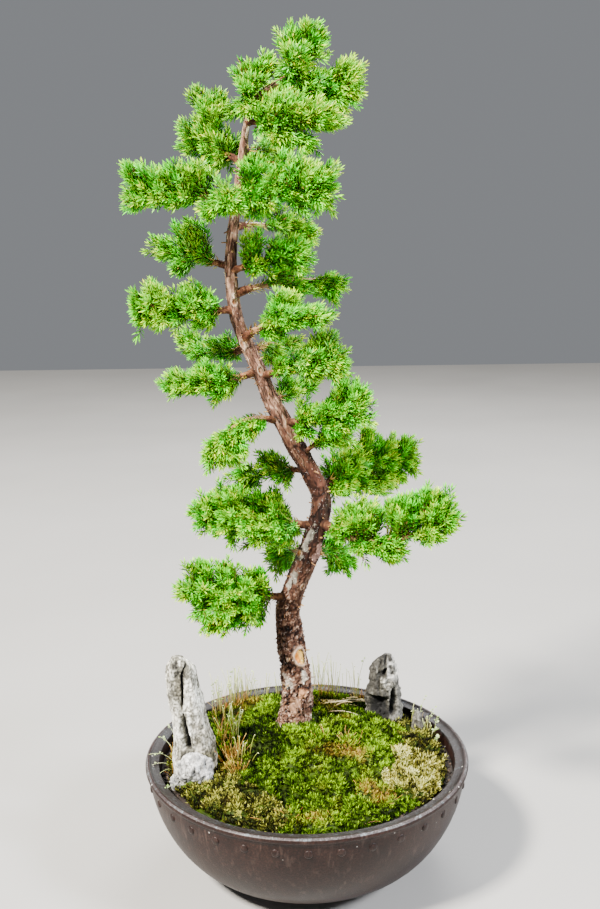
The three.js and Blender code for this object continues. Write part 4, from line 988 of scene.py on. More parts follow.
def build_stalks():
    """Spore stalks: thin stems that lean out of their clump, each with a pale nodding capsule whose
    near-white tip is partly a painted glint.
    """
    rng = np.random.default_rng(14)
    roots, lean = clumped(STALKS, rng, 0.55, 1.12, 0.5, 0.09)
    count = len(roots)
    tops = roots + lean
    low = pick([0x6A4410, 0x5A6A14], rng.random(count))
    high = pick([0x86A030, 0xB4C060, 0xE0E4A8], rng.random(count))
    stalks = stems(roots, tops, lean * (-0.35, -0.35, 0), STALK_RADIUS, (low, high))
    nod = unit(lean * (1, 1, 0.2) + rng.normal(0, 0.35, (count, 3)) * lean[:, 2:])
    side = unit(np.cross(nod, [0.3, 0.9, 0.1]))
    # The capsules' near-white tips are partly their pale colour and partly a painted glint.
    pods = blades(tops - nod * 0.4, nod, side, rng.uniform(1.7, 2.8, count), 0.2,
                  rng.uniform(0.8, 1.3, count), pick([0x98A850, 0xC0C888], rng.random(count)),
                  pick([0xD8E0A0, 0xF4F4DC], rng.random(count)), 0, 0.5)
    # Spore stalks: thin, pale and a little glossy, so that they show against the dark.
    piece("moss_stalks", merged(stalks, pods), leaf("spore_stalk", 0.4), "moss_bright")


def build_straw():
    """Dry stems: short stiff tufts that splay from their clump, and long ones lying down."""
    rng = np.random.default_rng(15)
    roots, lean = clumped(STRAW, rng, 0.45, 1.15, 0.8, 0.28)
    count = len(roots)
    low = pick([0x4A2C10, 0x7A4A18, 0x94682C], rng.random(count))
    high = pick([0x8E4C0E, 0xA8701E, 0xBC9438, 0xD4BC64], rng.random(count))
    tufts = stems(roots, roots + lean, rng.normal(0, 1.2, (count, 3)),
                  rng.uniform(0.14, 0.3, count), (low, high), 3)
    x, y, to_x, to_y = np.array(LYING, float).T
    lying = len(LYING)
    laid = stems(points(x, y, moss_bed(x, y) + rng.uniform(1.5, 3, lying)),
                 points(to_x, to_y, moss_bed(to_x, to_y) + rng.uniform(3, 7, lying)),
                 rng.normal(0, 1.6, (lying, 3)) + (0, 0, 3), rng.uniform(0.4, 0.62, lying),
                 (pick([0x8A6A34, 0xC4A458], rng.random(lying)),
                  pick([0xD8C07C, 0xF2E6B4], rng.random(lying))))
    # Dry grass stems: straw yellow to rust, with a dull shine along them.
    piece("dry_stems", merged(tufts, laid), leaf("dry_stem", 0.45), "moss_olive")


def build_seedlings():
    """Weed seedlings: hair-thin arching stems with small round leaves near the end."""
    rng = np.random.default_rng(16)
    x, y, to_x, to_y, up, number = np.array(SEEDLINGS).T
    count = len(number)
    roots = points(x, y, moss_bed(x, y) - 1)
    tops = roots + points(to_x, to_y, up)
    rise = points(-0.2 * to_x, -0.2 * to_y, 0.3 * np.hypot(to_x, to_y) + 1.5)
    low = pick([0x6E7A2E, 0x9A9A50], rng.random(count))
    high = pick([0xA8BC70, 0xE0E6C0], rng.random(count))
    thin = stems(roots, tops, rise, SEEDLING_RADIUS, (low, high))
    owner = np.repeat(np.arange(count), number)
    share = 1 - rng.random(len(owner)) * np.minimum(0.09 * number[owner], 0.6)
    at = bezier(roots[owner], (roots + tops)[owner] / 2 + rise[owner], tops[owner],
                share[:, None])[:, 0]
    out = unit(rng.normal(size=at.shape) * (1, 1, 0.5))
    ahead = unit(np.array([0.05, 0.1, 1.0]) + rng.normal(0, 0.4, at.shape))
    side = unit(np.cross(np.cross(ahead, out), ahead))
    size = rng.uniform(1.8, 3.0, len(owner))
    leaves = blades(at, ahead, side, size, 1.2, size * 0.85,
                    pick([0x5E8A24, 0x8CA850], rng.random(len(owner))),
                    pick([0xA4C85C, 0xE4ECC4], rng.random(len(owner))), 0.05, 0.55)
    # Seedling leaves: soft and slightly waxy.
    piece("seedlings", merged(thin, leaves), leaf("seedling_leaf", 0.45), "moss_bright",
          soft_shade=False)


# ---- Stones ----

# Each stone: foot place, then levels of height above the foot, centre x, half width, half depth.
TALL_STONE = ((-91, -31, 72), [
    (0, 2, 15, 12), (12, 2.5, 16.5, 13), (26, 2.5, 17, 13), (40, 3, 16.5, 12), (59, 0.5, 14, 11),
    (84, -3.3, 13.4, 10.5), (97, -5.2, 12.3, 9), (107, -6.4, 9.8, 6.5), (114, -7.5, 4, 3)])
DARK_STONE = ((66, 61, 74), [
    (0, 0, 17, 13), (14, 0.5, 16.5, 13), (31, 1, 15.6, 12), (42, 1, 14.6, 11), (56, 1.2, 12, 9),
    (67, 2.2, 8.8, 7), (73, 4, 3.6, 3)])
SMALL_STONE = ((95, 40, 74), [
    (0, 0, 8, 7), (12, 0, 6.6, 6), (20, -0.4, 5.2, 5), (26, -0.8, 3.6, 3.6), (30, -1.1, 1.8, 1.8)])
# Cracks on the side that faces the viewer: height, x, half width and depth along each.
TALL_CRACK = [(72.5, -5, 0.7, 0), (75, -5, 0.8, 4), (80, -4.5, 1.0, 7), (92, -3.3, 1.3, 8),
              (98, -2.8, 1.8, 8), (103, -2.1, 1.4, 6), (108, -0.7, 1.0, 3), (114, -0.3, 0.9, 1.2),
              (118, -0.2, 0.9, 0)]
TALL_VALLEY = [(70, -4, 5, 0), (84, -5.5, 5, 2.2), (100, -5, 5.5, 2.4), (112, -3, 4, 0)]
TALL_CAVITY = [(41.5, -1.2, 2.9, 0), (42.5, -1.2, 2.9, 10), (50, -1.9, 3.0, 11),
               (59, -3.3, 2.6, 10), (66, -3.5, 1.6, 8), (70, -3.3, 0.9, 4), (72, -3.3, 0.8, 0)]
DARK_SEAM = [(38, -2.6, 0.9, 0), (44, -3, 1.0, 2.5), (55, -3.5, 1.1, 3), (66, -3.4, 1.0, 2.5),
             (72, -3, 0.9, 0)]
DARK_NOTCH = [(64, 1.8, 0.9, 0), (67, 2.0, 1.2, 3), (72, 2.4, 1.5, 4.5), (78, 2.6, 1.6, 4.5)]
DARK_PIT = [(53.5, -1.4, 1.2, 0), (56, -0.8, 1.8, 4), (59.5, 0.4, 2.6, 6.5), (62, 1.6, 2.2, 5),
            (64, 2.4, 1.2, 0)]
DARK_HOLLOW = [(0, -1, 7, 6), (16, -4, 9, 8), (28, -7, 11, 10), (36, -8, 11.5, 10),
               (39.5, -9, 11, 0)]
DARK_GAP = [(20, 9.0, 1.4, 0), (24, 9.1, 2.3, 7), (34, 9.3, 2.9, 9), (41, 9.5, 2.4, 7),
            (46, 9.6, 1.4, 0)]


def stone_grid(stone, columns, rows, carve):
    """A standing stone: oval sections through its levels, each corner moved along its own radius
    by what `carve` gives, in millimetres, and the depth of each corner's hollow for its colour."""
    place, levels = stone
    top = levels[-1][0]
    height = top * (1 - (1 - np.linspace(0, 1, rows)) ** 1.4)[:, None] + np.zeros(columns)
    centre_x, half_width, half_depth = np.moveaxis(through(height, levels), -1, 0)
    angle = np.broadcast_to(evenly(columns), height.shape)
    base = points(half_width * np.cos(angle), half_depth * np.sin(angle), height)
    push = carve(base + points(centre_x, 0, 0), angle)
    push = push * np.minimum(1, half_depth / 7)
    grid = base + unit(base * (1, 1, 0)) * push[..., None]
    grid[..., 0] += centre_x
    return grid + np.array(place), push


def crack(places, angle, line):
    """A cut that follows its line's levels on the side that faces the viewer: the depth times a
    flat-bottomed bell curve, exp(-t^4), of the distance across in half widths."""
    levels = np.array(line, float)
    middle, half, depth = (np.interp(places[..., 2], levels[:, 0], levels[:, k]) for k in (1, 2, 3))
    outside = (places[..., 2] < levels[0, 0]) | (places[..., 2] > levels[-1, 0])
    facing = smooth(-1.6 * np.sin(angle) - 0.1)
    return np.where(outside, 0, facing * depth * np.exp(-((places[..., 0] - middle) / half) ** 4))


def trough(angle, centre, width):
    """1 along a direction in degrees, falling off by a bell curve of that width."""
    off = (np.degrees(angle) - centre + 180) % 360 - 180
    return np.exp(-(off / width) ** 2)


def between(value, low, high, soft):
    """1 from low to high, easing off over `soft` at each end."""
    return smooth((value - low) / soft) * smooth((high - value) / soft)


def tall_carve(places, angle):
    """A narrow crack down the upper front and a cavity below it, with a short cross crack where
    they meet, over worn flutes and small pits."""
    height = places[..., 2]
    wander = places + 0.5 * points(noise(places, 3, 61), 0, 0)
    cross = 1.3 * np.exp(-((height - 72.6) / 0.8) ** 2) * between(places[..., 0], -5.5, 3.2, 1)
    facing = smooth(-2 * np.sin(angle))
    back = 4 * trough(angle, 100, 16) * between(height, 22, 88, 14)
    flutes = 0.7 * np.sin(5 * angle + 0.4 * np.sin(height / 12)) + 1.1 * rough(places, 15, 62, 3)
    streaks = 0.35 * noise(places * (1, 1, 0.3), 1.7, 63)
    pits = 0.6 * smooth(2.5 * noise(places, 2.6, 64) - 1.1) + 0.3 * rough(places, 1.8, 65, 2)
    cuts = crack(wander, angle, TALL_CRACK) + crack(wander, angle, TALL_CAVITY)
    valley = crack(places, angle, TALL_VALLEY)
    return flutes + streaks - pits - cuts - valley - cross * facing - back


def dark_carve(places, angle):
    """A seam down the front, a pit beside it and a notch in the top; below, a deep hollow on the
    left and two legs with a gap between them on the right."""
    height = places[..., 2]
    wander = places + 0.7 * points(noise(places, 4, 66), 0, 0)
    cuts = sum(crack(wander, angle, line) for line in (
        DARK_SEAM, DARK_NOTCH, DARK_PIT, DARK_HOLLOW, DARK_GAP))
    side = 4 * trough(angle, 140, 20) * between(height, 8, 50, 10)
    face = 1.6 * rough(places, 12, 67, 3) + 1.0 * rough(places, 3.2, 68, 2)
    return face - cuts - side


def small_carve(places, angle):
    """A rough lump with pits and one shallow cleft."""
    cleft = 2.0 * trough(angle, -100, 18) * between(places[..., 2], 5, 25, 6)
    return 1.2 * rough(places, 6, 69, 3) - 0.8 * smooth(3 * noise(places, 2.4, 70) - 0.8) - cleft


def weathered(places, push, codes, seed, dark):
    """Stone colour: clouded stain and fine specks through the codes, darkened to near black where
    it is cut, as painted shade in its cracks, pits and hollows.
    """
    share = 0.6 + 0.22 * rough(places, 12, seed, 3) + 0.22 * noise(places, 1.3, seed + 5)
    share = share + 0.2 * rough(places * (1, 1, 0.16), 2.2, seed + 6, 2) + 0.03 * push
    # Painted shade: the colour goes to the dark colour where the surface is cut in.
    return blend(pick(codes, share), linear(dark), smooth(-(push + 2.2) / 3.2))


def tall_tint(grid, push):
    """White; warmer and darker in the valley beside the crack, partly a beige stain and partly
    painted shade; darker beige grey low on the right, partly its own colour and partly painted
    shade on the side away from the key lamp; and green with algae at the foot."""
    x, height = grid[..., 0] - TALL_STONE[0][0], grid[..., 2] - TALL_STONE[0][2]
    tint = weathered(grid, push, [0x0C0B08, 0x2C2A22, 0x6E6C60, 0xD4D2C6, 0xFFFFFA], 71, 0x050403)
    # Painted shade, with a beige stain, in the valley beside the crack.
    valley = between(x, -12, -1, 4) * between(height, 78, 106, 10) * 0.55
    tint = blend(tint, tint * (0.82, 0.76, 0.6), valley)
    # Painted shade, over a beige-grey tone, low on the side away from the key lamp.
    flank = smooth((x - 1) / 7) * smooth((82 - height) / 26) * (0.6 + 0.4 * noise(grid, 5, 77))
    tint = blend(tint, tint * (0.42, 0.37, 0.28), flank)
    algae = smooth(0.4 + 1.4 * noise(grid, 4, 78)) * smooth((x + 2) / 10)
    algae = algae * smooth((44 - height) / 12)
    return blend(tint, tint * (0.62, 0.66, 0.3), algae * 0.8)


def dark_tint(grid, push):
    """Smooth mid grey left of the seam, near white up the right, olive grey between and below."""
    x, height = grid[..., 0] - DARK_STONE[0][0], grid[..., 2] - DARK_STONE[0][2]
    tint = weathered(grid, push, [0x060604, 0x12120E, 0x24221C, 0x4A483F, 0xB4B2A8], 75, 0x020202)
    left = smooth((-2.8 - x) / 1.5) * smooth((height - 30) / 10)
    tint = blend(tint, pick([0x1C1A16, 0x302E29, 0x4A4842], 0.5 + 0.5 * rough(grid, 5, 79, 2)),
                 left * 0.7 * smooth((push + 2.5) / 1.5))
    white = smooth((x - 2.5) / 2.5) * smooth((height - 48) / 8) * smooth(0.75 + noise(grid, 4, 80))
    legs = smooth((x - 4.4) / 1) * smooth((50 - height) / 6) * smooth((push + 2.2) / 2)
    tint = blend(tint, linear(0xDAD8D0), white * smooth((push + 1.8) / 2) * 0.8)
    return blend(tint, linear(0x84827A), legs * 0.6)


def small_tint(grid, push):
    """Plain grey, painted dark in its pits, as shade."""
    return weathered(grid, push, [0x12110E, 0x32302A, 0x5C5A52, 0x9A988F], 76, 0x080806)


def foot_lump(centre, size, seed):
    """A pitted lump: a ball stretched to its three half sizes and roughened."""
    columns, rows = LUMP_GRID
    turn = evenly(columns)
    polar = np.linspace(0.02, 0.98, rows)[:, None] * np.pi
    ball = points(np.sin(polar) * np.cos(turn), np.sin(polar) * np.sin(turn), -np.cos(polar))
    lump = ball * size
    dent = 1.5 * rough(lump, 6, seed, 3) - 1.1 * smooth(3 * noise(lump, 2.3, seed + 1) - 0.9)
    tints = weathered(lump, 1.6 * dent, [0x24262A, 0x5A5C5E, 0xA4A4A2, 0xECECEA], seed, 0x121316)
    lump = lump + ball * dent[..., None] + np.array(TALL_STONE[0]) + centre
    return closed_skins(lump[None], tints[None])


def build_stones():
    """The three stones; the tall one stands behind a pitted lump, with a smaller lump beside it."""
    limestone = weathered_limestone()
    lumps = [foot_lump((4.5, -10.5, 24), (14.5, 7, 15), 72),
             foot_lump((-11, -9, 13), (5, 4.5, 7.5), 73)]
    for name, stone, size, carve, tint, more, slot, node in [
            ("limestone_tall", TALL_STONE, TALL_GRID, tall_carve, tall_tint, lumps,
             "pale_stone", "stone_tall"),
            ("stone_right", DARK_STONE, DARK_GRID, dark_carve, dark_tint, [],
             "dark_stone", "stone_dark"),
            ("stone_little", SMALL_STONE, SMALL_GRID, small_carve, small_tint, [],
             "dark_stone", "stone_small")]:
        grid, push = stone_grid(stone, *size, carve)
        skin = closed_skins(grid[None], tint(grid, push)[None])
        piece(name, merged(skin, *more), limestone, slot, node)


# ---- Trunk and limbs ----


def trunk_line(shares):
    """The trunk's axis and radius: a curve through its points whose slope at each is half the
    step between its neighbours, and a radius in straight steps."""
    points = TRUNK[:, :3]
    padded = np.vstack([2 * points[0] - points[1], points, 2 * points[-1] - points[-2]])
    place = np.clip(shares, 0, 1) * (len(points) - 1)
    low = np.minimum(place.astype(int), len(points) - 2)
    t = (place - low)[..., None]
    before, start, end, beyond = (padded[low + k] for k in range(4))
    axis = 0.5 * (2 * start + (end - before) * t
                  + (2 * before - 5 * start + 4 * end - beyond) * t ** 2
                  + (3 * start - before - 3 * end + beyond) * t ** 3)
    return axis, np.interp(place, np.arange(len(points)), TRUNK[:, 3])


def trunk_at(height):
    """The axis point and radius where the trunk passes a height."""
    axis, radius = trunk_line(np.linspace(0, 1, 4000))
    nearest = np.argmin(np.abs(axis[:, 2] - height))
    return axis[nearest], radius[nearest]


# Above this height the bark turns from chips to strips.
STRIPS_FROM = 195
# How light the bark is at each height, partly its own colour and partly painted light: darkest and
# reddest at the bend, from 262 to 320 up, where it is painted as in shade, and lightest above 370,
# where it is painted as lit.
BARK_TONE_AND_PAINTED_LIGHT = [(100, 0.62), (158, 0.78), (174, 0.5), (212, 0.46), (226, 0.42), (262, 0.18),
              (320, 0.18), (350, 0.5), (373, 1.7), (420, 1.45)]
# How light the limbs' collars are painted, by where they leave the trunk: low ones are as dark as
# its bark, which is partly painted shade.
COLLAR_TONE_AND_PAINTED_SHADE = [(200, 0.25), (380, 0.4), (430, 1)]
# Pruning scars: height, direction in degrees, half width and half height of the cut face, how far
# the callus round it stands up, and the colour of the face.
SCARS = [(164.4, -56, 4.1, 5.6, 1.6, 0xD8AC54), (249, -143, 1.7, 2.0, 0.9, 0xC49A66),
         (452, -76, 1.6, 2.2, 0.6, 0x8A6A50), (421, -110, 1.8, 2.4, 0.6, 0xC8B098),
         (399, -70, 1.7, 2.4, 0.5, 0x8E7058), (226, -56, 1.6, 1.8, 1.2, 0x9A7A5A),
         (300, 60, 3.4, 4.2, 0.9, 0xC29A62), (190, 80, 4.2, 5.0, 1.2, 0xB08A5C)]
# Places where the bark differs: height, direction, half width, half height, how far it stands up,
# how smooth it is, and its colour.
PATCHES = [(241, -144, 2.8, 5.5, 0, 0.9, 0x5A5850), (233, -126, 3.2, 4.0, 0, 0.9, 0x5E5C53),
           (226, -134, 3.8, 4.5, 0, 0.8, 0x8C8A80), (262, -125, 2.6, 11, 0, 0.7, 0x7A786E),
           (122, -96, 4.6, 8, 0.2, 0.85, 0x8A6A52), (134, -66, 3.4, 3, 0.3, 0.3, 0xC08C62),
           (145, -130, 3.4, 6, 0.4, 0.2, 0xF0E6D6), (148, -56, 3, 5, 0.4, 0.2, 0xEADCC8),
           (118, -62, 1.1, 9, -1.8, 0, 0x1C120C), (104, -118, 1.2, 5, -1.4, 0, 0x1E140E),
           (179, -150, 2.2, 3.2, -2.4, 0, 0x17100B), (245, -26, 2.0, 3.4, -1.2, 0.2, 0x22170F),
           (311, -60, 5, 15, 0, 0.2, 0x5A382C), (290, -48, 3.6, 11, -0.2, 0, 0x4A3A2E),
           (253, -45, 2.6, 6, 0.2, 0.4, 0xB8948A), (236, 60, 6, 12, 0, 0.7, 0xA8A496)]


def bark_low(turns, along, places):
    """Torn bark: two sizes of chips, each tipped its own way, so that one edge of it lifts and the
    other sinks below its neighbour. Its colour is painted lighter where a chip stands up, as light,
    and near black in the sunken parts and along the chips' edges, partly dark cracks and partly
    painted shade. Returns the relief and the colour."""
    warp = points(noise(places, 4.5, 81), noise(places, 4.5, 82))
    warp = warp + 0.7 * points(noise(places, 1.9, 83), noise(places, 1.9, 84))
    _, wide, wide_luck = chips(turns + 0.045 * warp[..., 0], along / 6 + 0.4 * warp[..., 1], 12, 85)
    edge, fine, fine_luck = chips(turns + 0.02 * warp[..., 1], along / 2.6 + 0.5 * warp[..., 0],
                                  30, 88)
    relief = 1.0 * (wide_luck[..., 0] - 0.5) + 1.7 * ((wide_luck[..., 1:] - 0.5) * wide).sum(-1)
    relief = relief + 1.0 * (fine_luck[..., 0] - 0.5)
    relief = (relief + 1.9 * ((fine_luck[..., 1:] - 0.5) * fine).sum(-1)
              + 0.25 * noise(places, 1.2, 91))
    # Painted light: the colour rises with the relief.
    share = (0.4 + 0.24 * relief + 0.5 * (fine_luck[..., 1] - 0.5) + 0.12 * noise(places, 9, 92)
             + 0.2 * noise(places, 1.1, 93))
    tint = pick([0x160D09, 0x38231A, 0x644637, 0x9A7864, 0xDCC2AA, 0xFFF4E6], share)
    # Near black in the sunken parts and along chip edges: partly dark cracks, partly painted shade.
    return relief, blend(tint, linear(0x0C0705), smooth((-relief - 0.55) / 0.4)
                         + 0.7 * (1 - smooth(edge / 0.1)))


def bark_high(turns, along, places):
    """Long strips with torn ends over shorter ones, each standing its own height. Their colour is
    painted lighter where a strip stands up, as light, and near black along their edges, partly dark
    cracks and partly painted shade.
    """
    warp = noise(places, 7, 94)
    edge, _, luck = chips(turns + 0.035 * warp, along / 19 + 0.3 * warp, 8, 95)
    _, fine, fine_luck = chips(turns + 0.02 * noise(places, 3, 98), along / 7 + 0.2 * warp, 16, 99)
    relief = 0.7 * (luck[..., 0] - 0.5) + 0.5 * (fine_luck[..., 0] - 0.5)
    relief = relief + 0.9 * ((fine_luck[..., 1:] - 0.5) * fine).sum(-1)
    # Painted light: the colour rises with the relief.
    share = (0.5 + 0.5 * relief + 0.25 * (luck[..., 1] - 0.5) + 0.2 * noise(places, 12, 102)
             + 0.2 * noise(places * (1, 1, 0.3), 1.2, 103))
    tint = pick([0x1C110D, 0x40291F, 0x6A4A3C, 0xA07C66, 0xE6CFB8], share)
    # Near black along the strips' edges: partly dark cracks, partly painted shade.
    return relief, blend(tint, linear(0x0E0805), 0.9 * (1 - smooth(edge / 0.2)))


def over_bark(angle, height, radius, spot):
    """Distances from a spot's middle, in its half widths: round the trunk, and up it."""
    tall, way, half_width, half_height = spot[:4]
    off = np.radians((np.degrees(angle) - way + 180) % 360 - 180) * radius / half_width
    return off, (height - tall) / half_height


def build_trunk():
    """The trunk: rings round its axis, closer together low down, each corner at its radius times
    a low three- and five-fold swell, plus the bark's relief, the patches and the scars."""
    rows, columns = TRUNK_GRID
    axis, radius = trunk_line(np.linspace(0, 1, 3000))
    length = np.append(0, np.cumsum(np.linalg.norm(np.diff(axis, axis=0), axis=1)))
    steps = np.linspace(0, 1, rows)
    steps = length[-1] * (0.6 * steps + 0.4 * steps ** 2)
    axis = points(*(np.interp(steps, length, part) for part in axis.T))
    radius = np.interp(steps, length, radius)[:, None]
    _, first, second = frames(axis)
    angle = np.broadcast_to(evenly(columns), TRUNK_GRID)
    out = swung(first[:, None], second[:, None], angle)
    height = np.broadcast_to(axis[:, None, 2], TRUNK_GRID)
    climb = height / 9
    swell = 1 + 0.07 * (np.sin(3 * angle + climb) + 0.6 * np.sin(5 * angle - 1.7 * climb))
    places = axis[:, None] + out * radius[..., None]
    low_relief, low_tint = bark_low(angle / TURN, height, places)
    high_relief, high_tint = bark_high(angle / TURN, height, places)
    share = smooth((height - STRIPS_FROM + 14 * noise(places, 12, 104)) / 60)
    relief = (low_relief * (1 - share) + high_relief * share) * np.clip(radius / 10, 0.3, 1.1)
    colour = blend(low_tint, high_tint, share)
    # Painted light over the bark's own tone: darkened at the bend as shade, lightened above it as
    # lit.
    tone_and_painted_light = level(height + 8 * noise(places, 14, 110), BARK_TONE_AND_PAINTED_LIGHT)
    colour = colour * points(tone_and_painted_light, tone_and_painted_light ** 1.2, tone_and_painted_light ** 1.3)
    for spot in PATCHES:
        off, up = over_bark(angle, height, radius, spot)
        inside = smooth((1.2 - np.hypot(off, up) + 0.8 * rough(places, 3.4, 105, 3)) / 0.4)
        relief = relief * (1 - spot[5] * inside) + spot[4] * inside
        retint = linear(spot[6]) * (1 + 0.6 * rough(places * (1, 1, 0.5), 2.4, 106, 2))[..., None]
        colour = blend(colour, np.clip(retint, 0, 1), (0.45 + 0.4 * spot[5]) * inside)
    for spot in SCARS:
        off, up = over_bark(angle, height, radius, spot)
        away = np.hypot(off, up) + 0.08 * noise(places, 3, 107)
        ring = np.exp(-((away - 1.3) / 0.26) ** 2)
        inside = smooth((1.12 - away) / 0.14)
        relief = relief * (1 - np.maximum(0.8 * ring, inside)) + spot[4] * ring - 0.5 * inside
        face = blend(linear(spot[5]), linear(spot[5]) * (0.8, 0.5, 0.34), smooth(-1.6 * off + 0.1))
        face = face * (1 + 0.3 * noise(places, 1.6, 108))[..., None]
        callus = linear(0xC6AC94) * (1 + 0.4 * noise(places, 2, 109))[..., None]
        colour = blend(colour, np.clip(callus, 0, 1), 0.75 * ring)
        colour = blend(colour, np.clip(face, 0, 1), inside)
        split = smooth((away - 0.86) / 0.1) * smooth((1.16 - away) / 0.08) * smooth(1.5 * off + 0.2)
        colour = blend(colour, linear(0x140D08), split)
    grid = axis[:, None] + out * (radius * swell + relief)[..., None]
    # Juniper bark, dead and dry: torn red-brown chips with pale faces over nearly black cracks.
    bark = flaky_bark()
    piece("trunk_bark", closed_skins(grid[None], colour[None]), bark, "bark", "trunk_and_limbs")
    piece("bark_flakes", bark_flakes(grid, out, colour), bark, "bark", "trunk_and_limbs",
          soft_shade=False)
    piece("limb_wood", limb_wood(), bark, "bark", "trunk_and_limbs")


def bark_flakes(grid, out, colour):
    """Loose flakes: pointed chips that lie along the trunk and lift off it, more of them low down,
    and short dead twigs. Each flake is painted dark at its root, as shade, and pale at its lifted
    tip, as a highlight."""
    rng = np.random.default_rng(18)
    rows, columns, _ = grid.shape
    flakes, stubs = LOOSE_CHIPS, DEAD_TWIGS
    row = (rows * (0.05 + 0.9 * rng.random(flakes) ** 1.9)).astype(int)
    column = rng.integers(0, columns, flakes)
    root, away = grid[row, column], out[row, column]
    way = np.array([0, 0, 1]) * rng.choice([-1, 1], (flakes, 1)) + rng.normal(0, 0.8, (flakes, 3))
    way = unit(way - away * (way * away).sum(-1, keepdims=True))
    thick = level(row / rows, [(0, 1), (1, 0.4)])
    tints = np.clip(colour[row, column] + 0.05, 0, 1) * rng.uniform(0.6, 2.2, (flakes, 1))
    # Painted shade at each flake's root and a painted highlight at its tip.
    loose = blades(root - away * 0.3, way, away, thick * rng.uniform(1.2, 3.4, flakes),
                   rng.uniform(0.2, 0.85, flakes), thick * rng.uniform(0.8, 1.8, flakes),
                   tints * 0.4, np.clip(tints * 1.4, 0, 1), 0.05, 0.45)
    row = (rows * rng.uniform(0.1, 0.97, stubs)).astype(int)
    column = rng.integers(0, columns, stubs)
    root, away = grid[row, column], out[row, column]
    tops = root + away * rng.uniform(1.5, 5, (stubs, 1)) + rng.normal(0, 1.0, (stubs, 3))
    tan = pick([0x6A4A34, 0xA07A50, 0xC9A46A], rng.random(stubs))
    twigs = stems(root - away * 0.6, tops, rng.normal(0, 0.5, (stubs, 3)),
                  rng.uniform(0.35, 0.8, stubs), (tan * 0.7, tan), 5)
    return merged(loose, twigs)


def limb_curve(limb):
    """A limb's three control points, as the curve that leaves the trunk's axis, passes through the
    bend and ends at the tip; with its length, wood radius and where its wood ends."""
    height, bend, tip, _ = limb
    root, trunk_radius = trunk_at(height)
    bend, tip = np.array(bend, float), np.array(tip, float)
    before, after = np.linalg.norm(bend - root), np.linalg.norm(tip - bend)
    share = before / (before + after)
    control = (bend - root * (1 - share) ** 2 - tip * share ** 2) / (2 * share * (1 - share))
    line = bezier(root, control, tip, np.linspace(0, 1, 60))
    length = np.linalg.norm(np.diff(line, axis=0), axis=1).sum()
    radius = min(LIMB_TIP_RADIUS + LIMB_TAPER * length, 0.8 * trunk_radius)
    return root, control, tip, length, radius, (trunk_radius + LIMB_SHOWING) / length


def limb_radius(share, radius):
    """The wood's radius along a limb: thick at the collar, then thinning evenly to the tip."""
    return radius * (1 - 0.72 * share) + 0.5 * radius * np.exp(-share * 14)


def limb_wood():
    """The woody start of every limb, with small lumps where old shoots were."""
    skins = []
    for limb in LIMBS.values():
        root, control, tip, length, radius, wood_end = limb_curve(limb)
        shares = np.linspace(0, wood_end + 2 / length, 26)
        path = bezier(root, control, tip, shares)
        rings = around_paths(path[None], limb_radius(shares, radius)[None], 14)
        lumps = 0.16 * radius * rough(rings, 2.4, 92, 2)
        rings = rings + unit(rings - path[None, :, None]) * lumps[..., None]
        tint = pick([0x2A1710, 0x5C3826, 0x9A6C4C], 0.5 + 0.4 * noise(rings, 3, 93)
                    + 0.4 * noise(rings, 1.1, 96))
        # Painted shade, with the bark's tone: collars of low limbs are darkened near the trunk.
        collar = level(limb[0], COLLAR_TONE_AND_PAINTED_SHADE)
        tone_and_painted_light = level(shares, [(0.5 * wood_end, collar), (wood_end, 1)])[:, None, None]
        skins.append(closed_skins(rings, tint * tone_and_painted_light))
    return merged(*skins)


# ---- Foliage ----

OLD_GREENS = [0x0C3404, 0x184A06, 0x2E5C0A, 0x205C28]
FRESH_GREENS = [0x1E9600, 0x3AB400, 0x6CD400, 0x38B448]
TIP_GREENS = [0x50E800, 0x7CF800, 0xC0FF08, 0x70F84C]
DRY_NEEDLES = [0x8A6428, 0xB89444, 0xD8BC5C, 0x8E9A3A]
# Along a shoot: its needles' size, how far they lean out, in radians, and how light they are
# painted, in shade near the shoot's base and lit towards its tip.
NEEDLE_SIZES = [(0, 0.8), (0.3, 0.98), (0.75, 0.92), (1, 0.62)]
NEEDLE_LEANS = [(0, 1.1), (0.6, 0.8), (1, 0.3)]
NEEDLE_PAINTED_LIGHT = [(0, 0.32), (0.5, 0.8), (1, 1.25)]
# Along a needle: how light it is painted, in shade at its root and with a highlight at its tip.
NEEDLE_ROOT_PAINTED_SHADE, NEEDLE_TIP_PAINTED_HIGHLIGHT = 0.22, 1.4
# Where along the rows of greens the limbs at each height lie: the crown is the yellowest.
HUES = [(230, 0.44), (400, 0.4), (560, 0.46), (651, 0.56)]
# Side shoots: how far up its main shoot each starts, the side it turns to, and how many of the
# main shoots carry one.
SIDE_SHOOTS = [(0.5, 1, 0.9), (0.68, -1, 0.9), (0.6, 0, 0.55)]


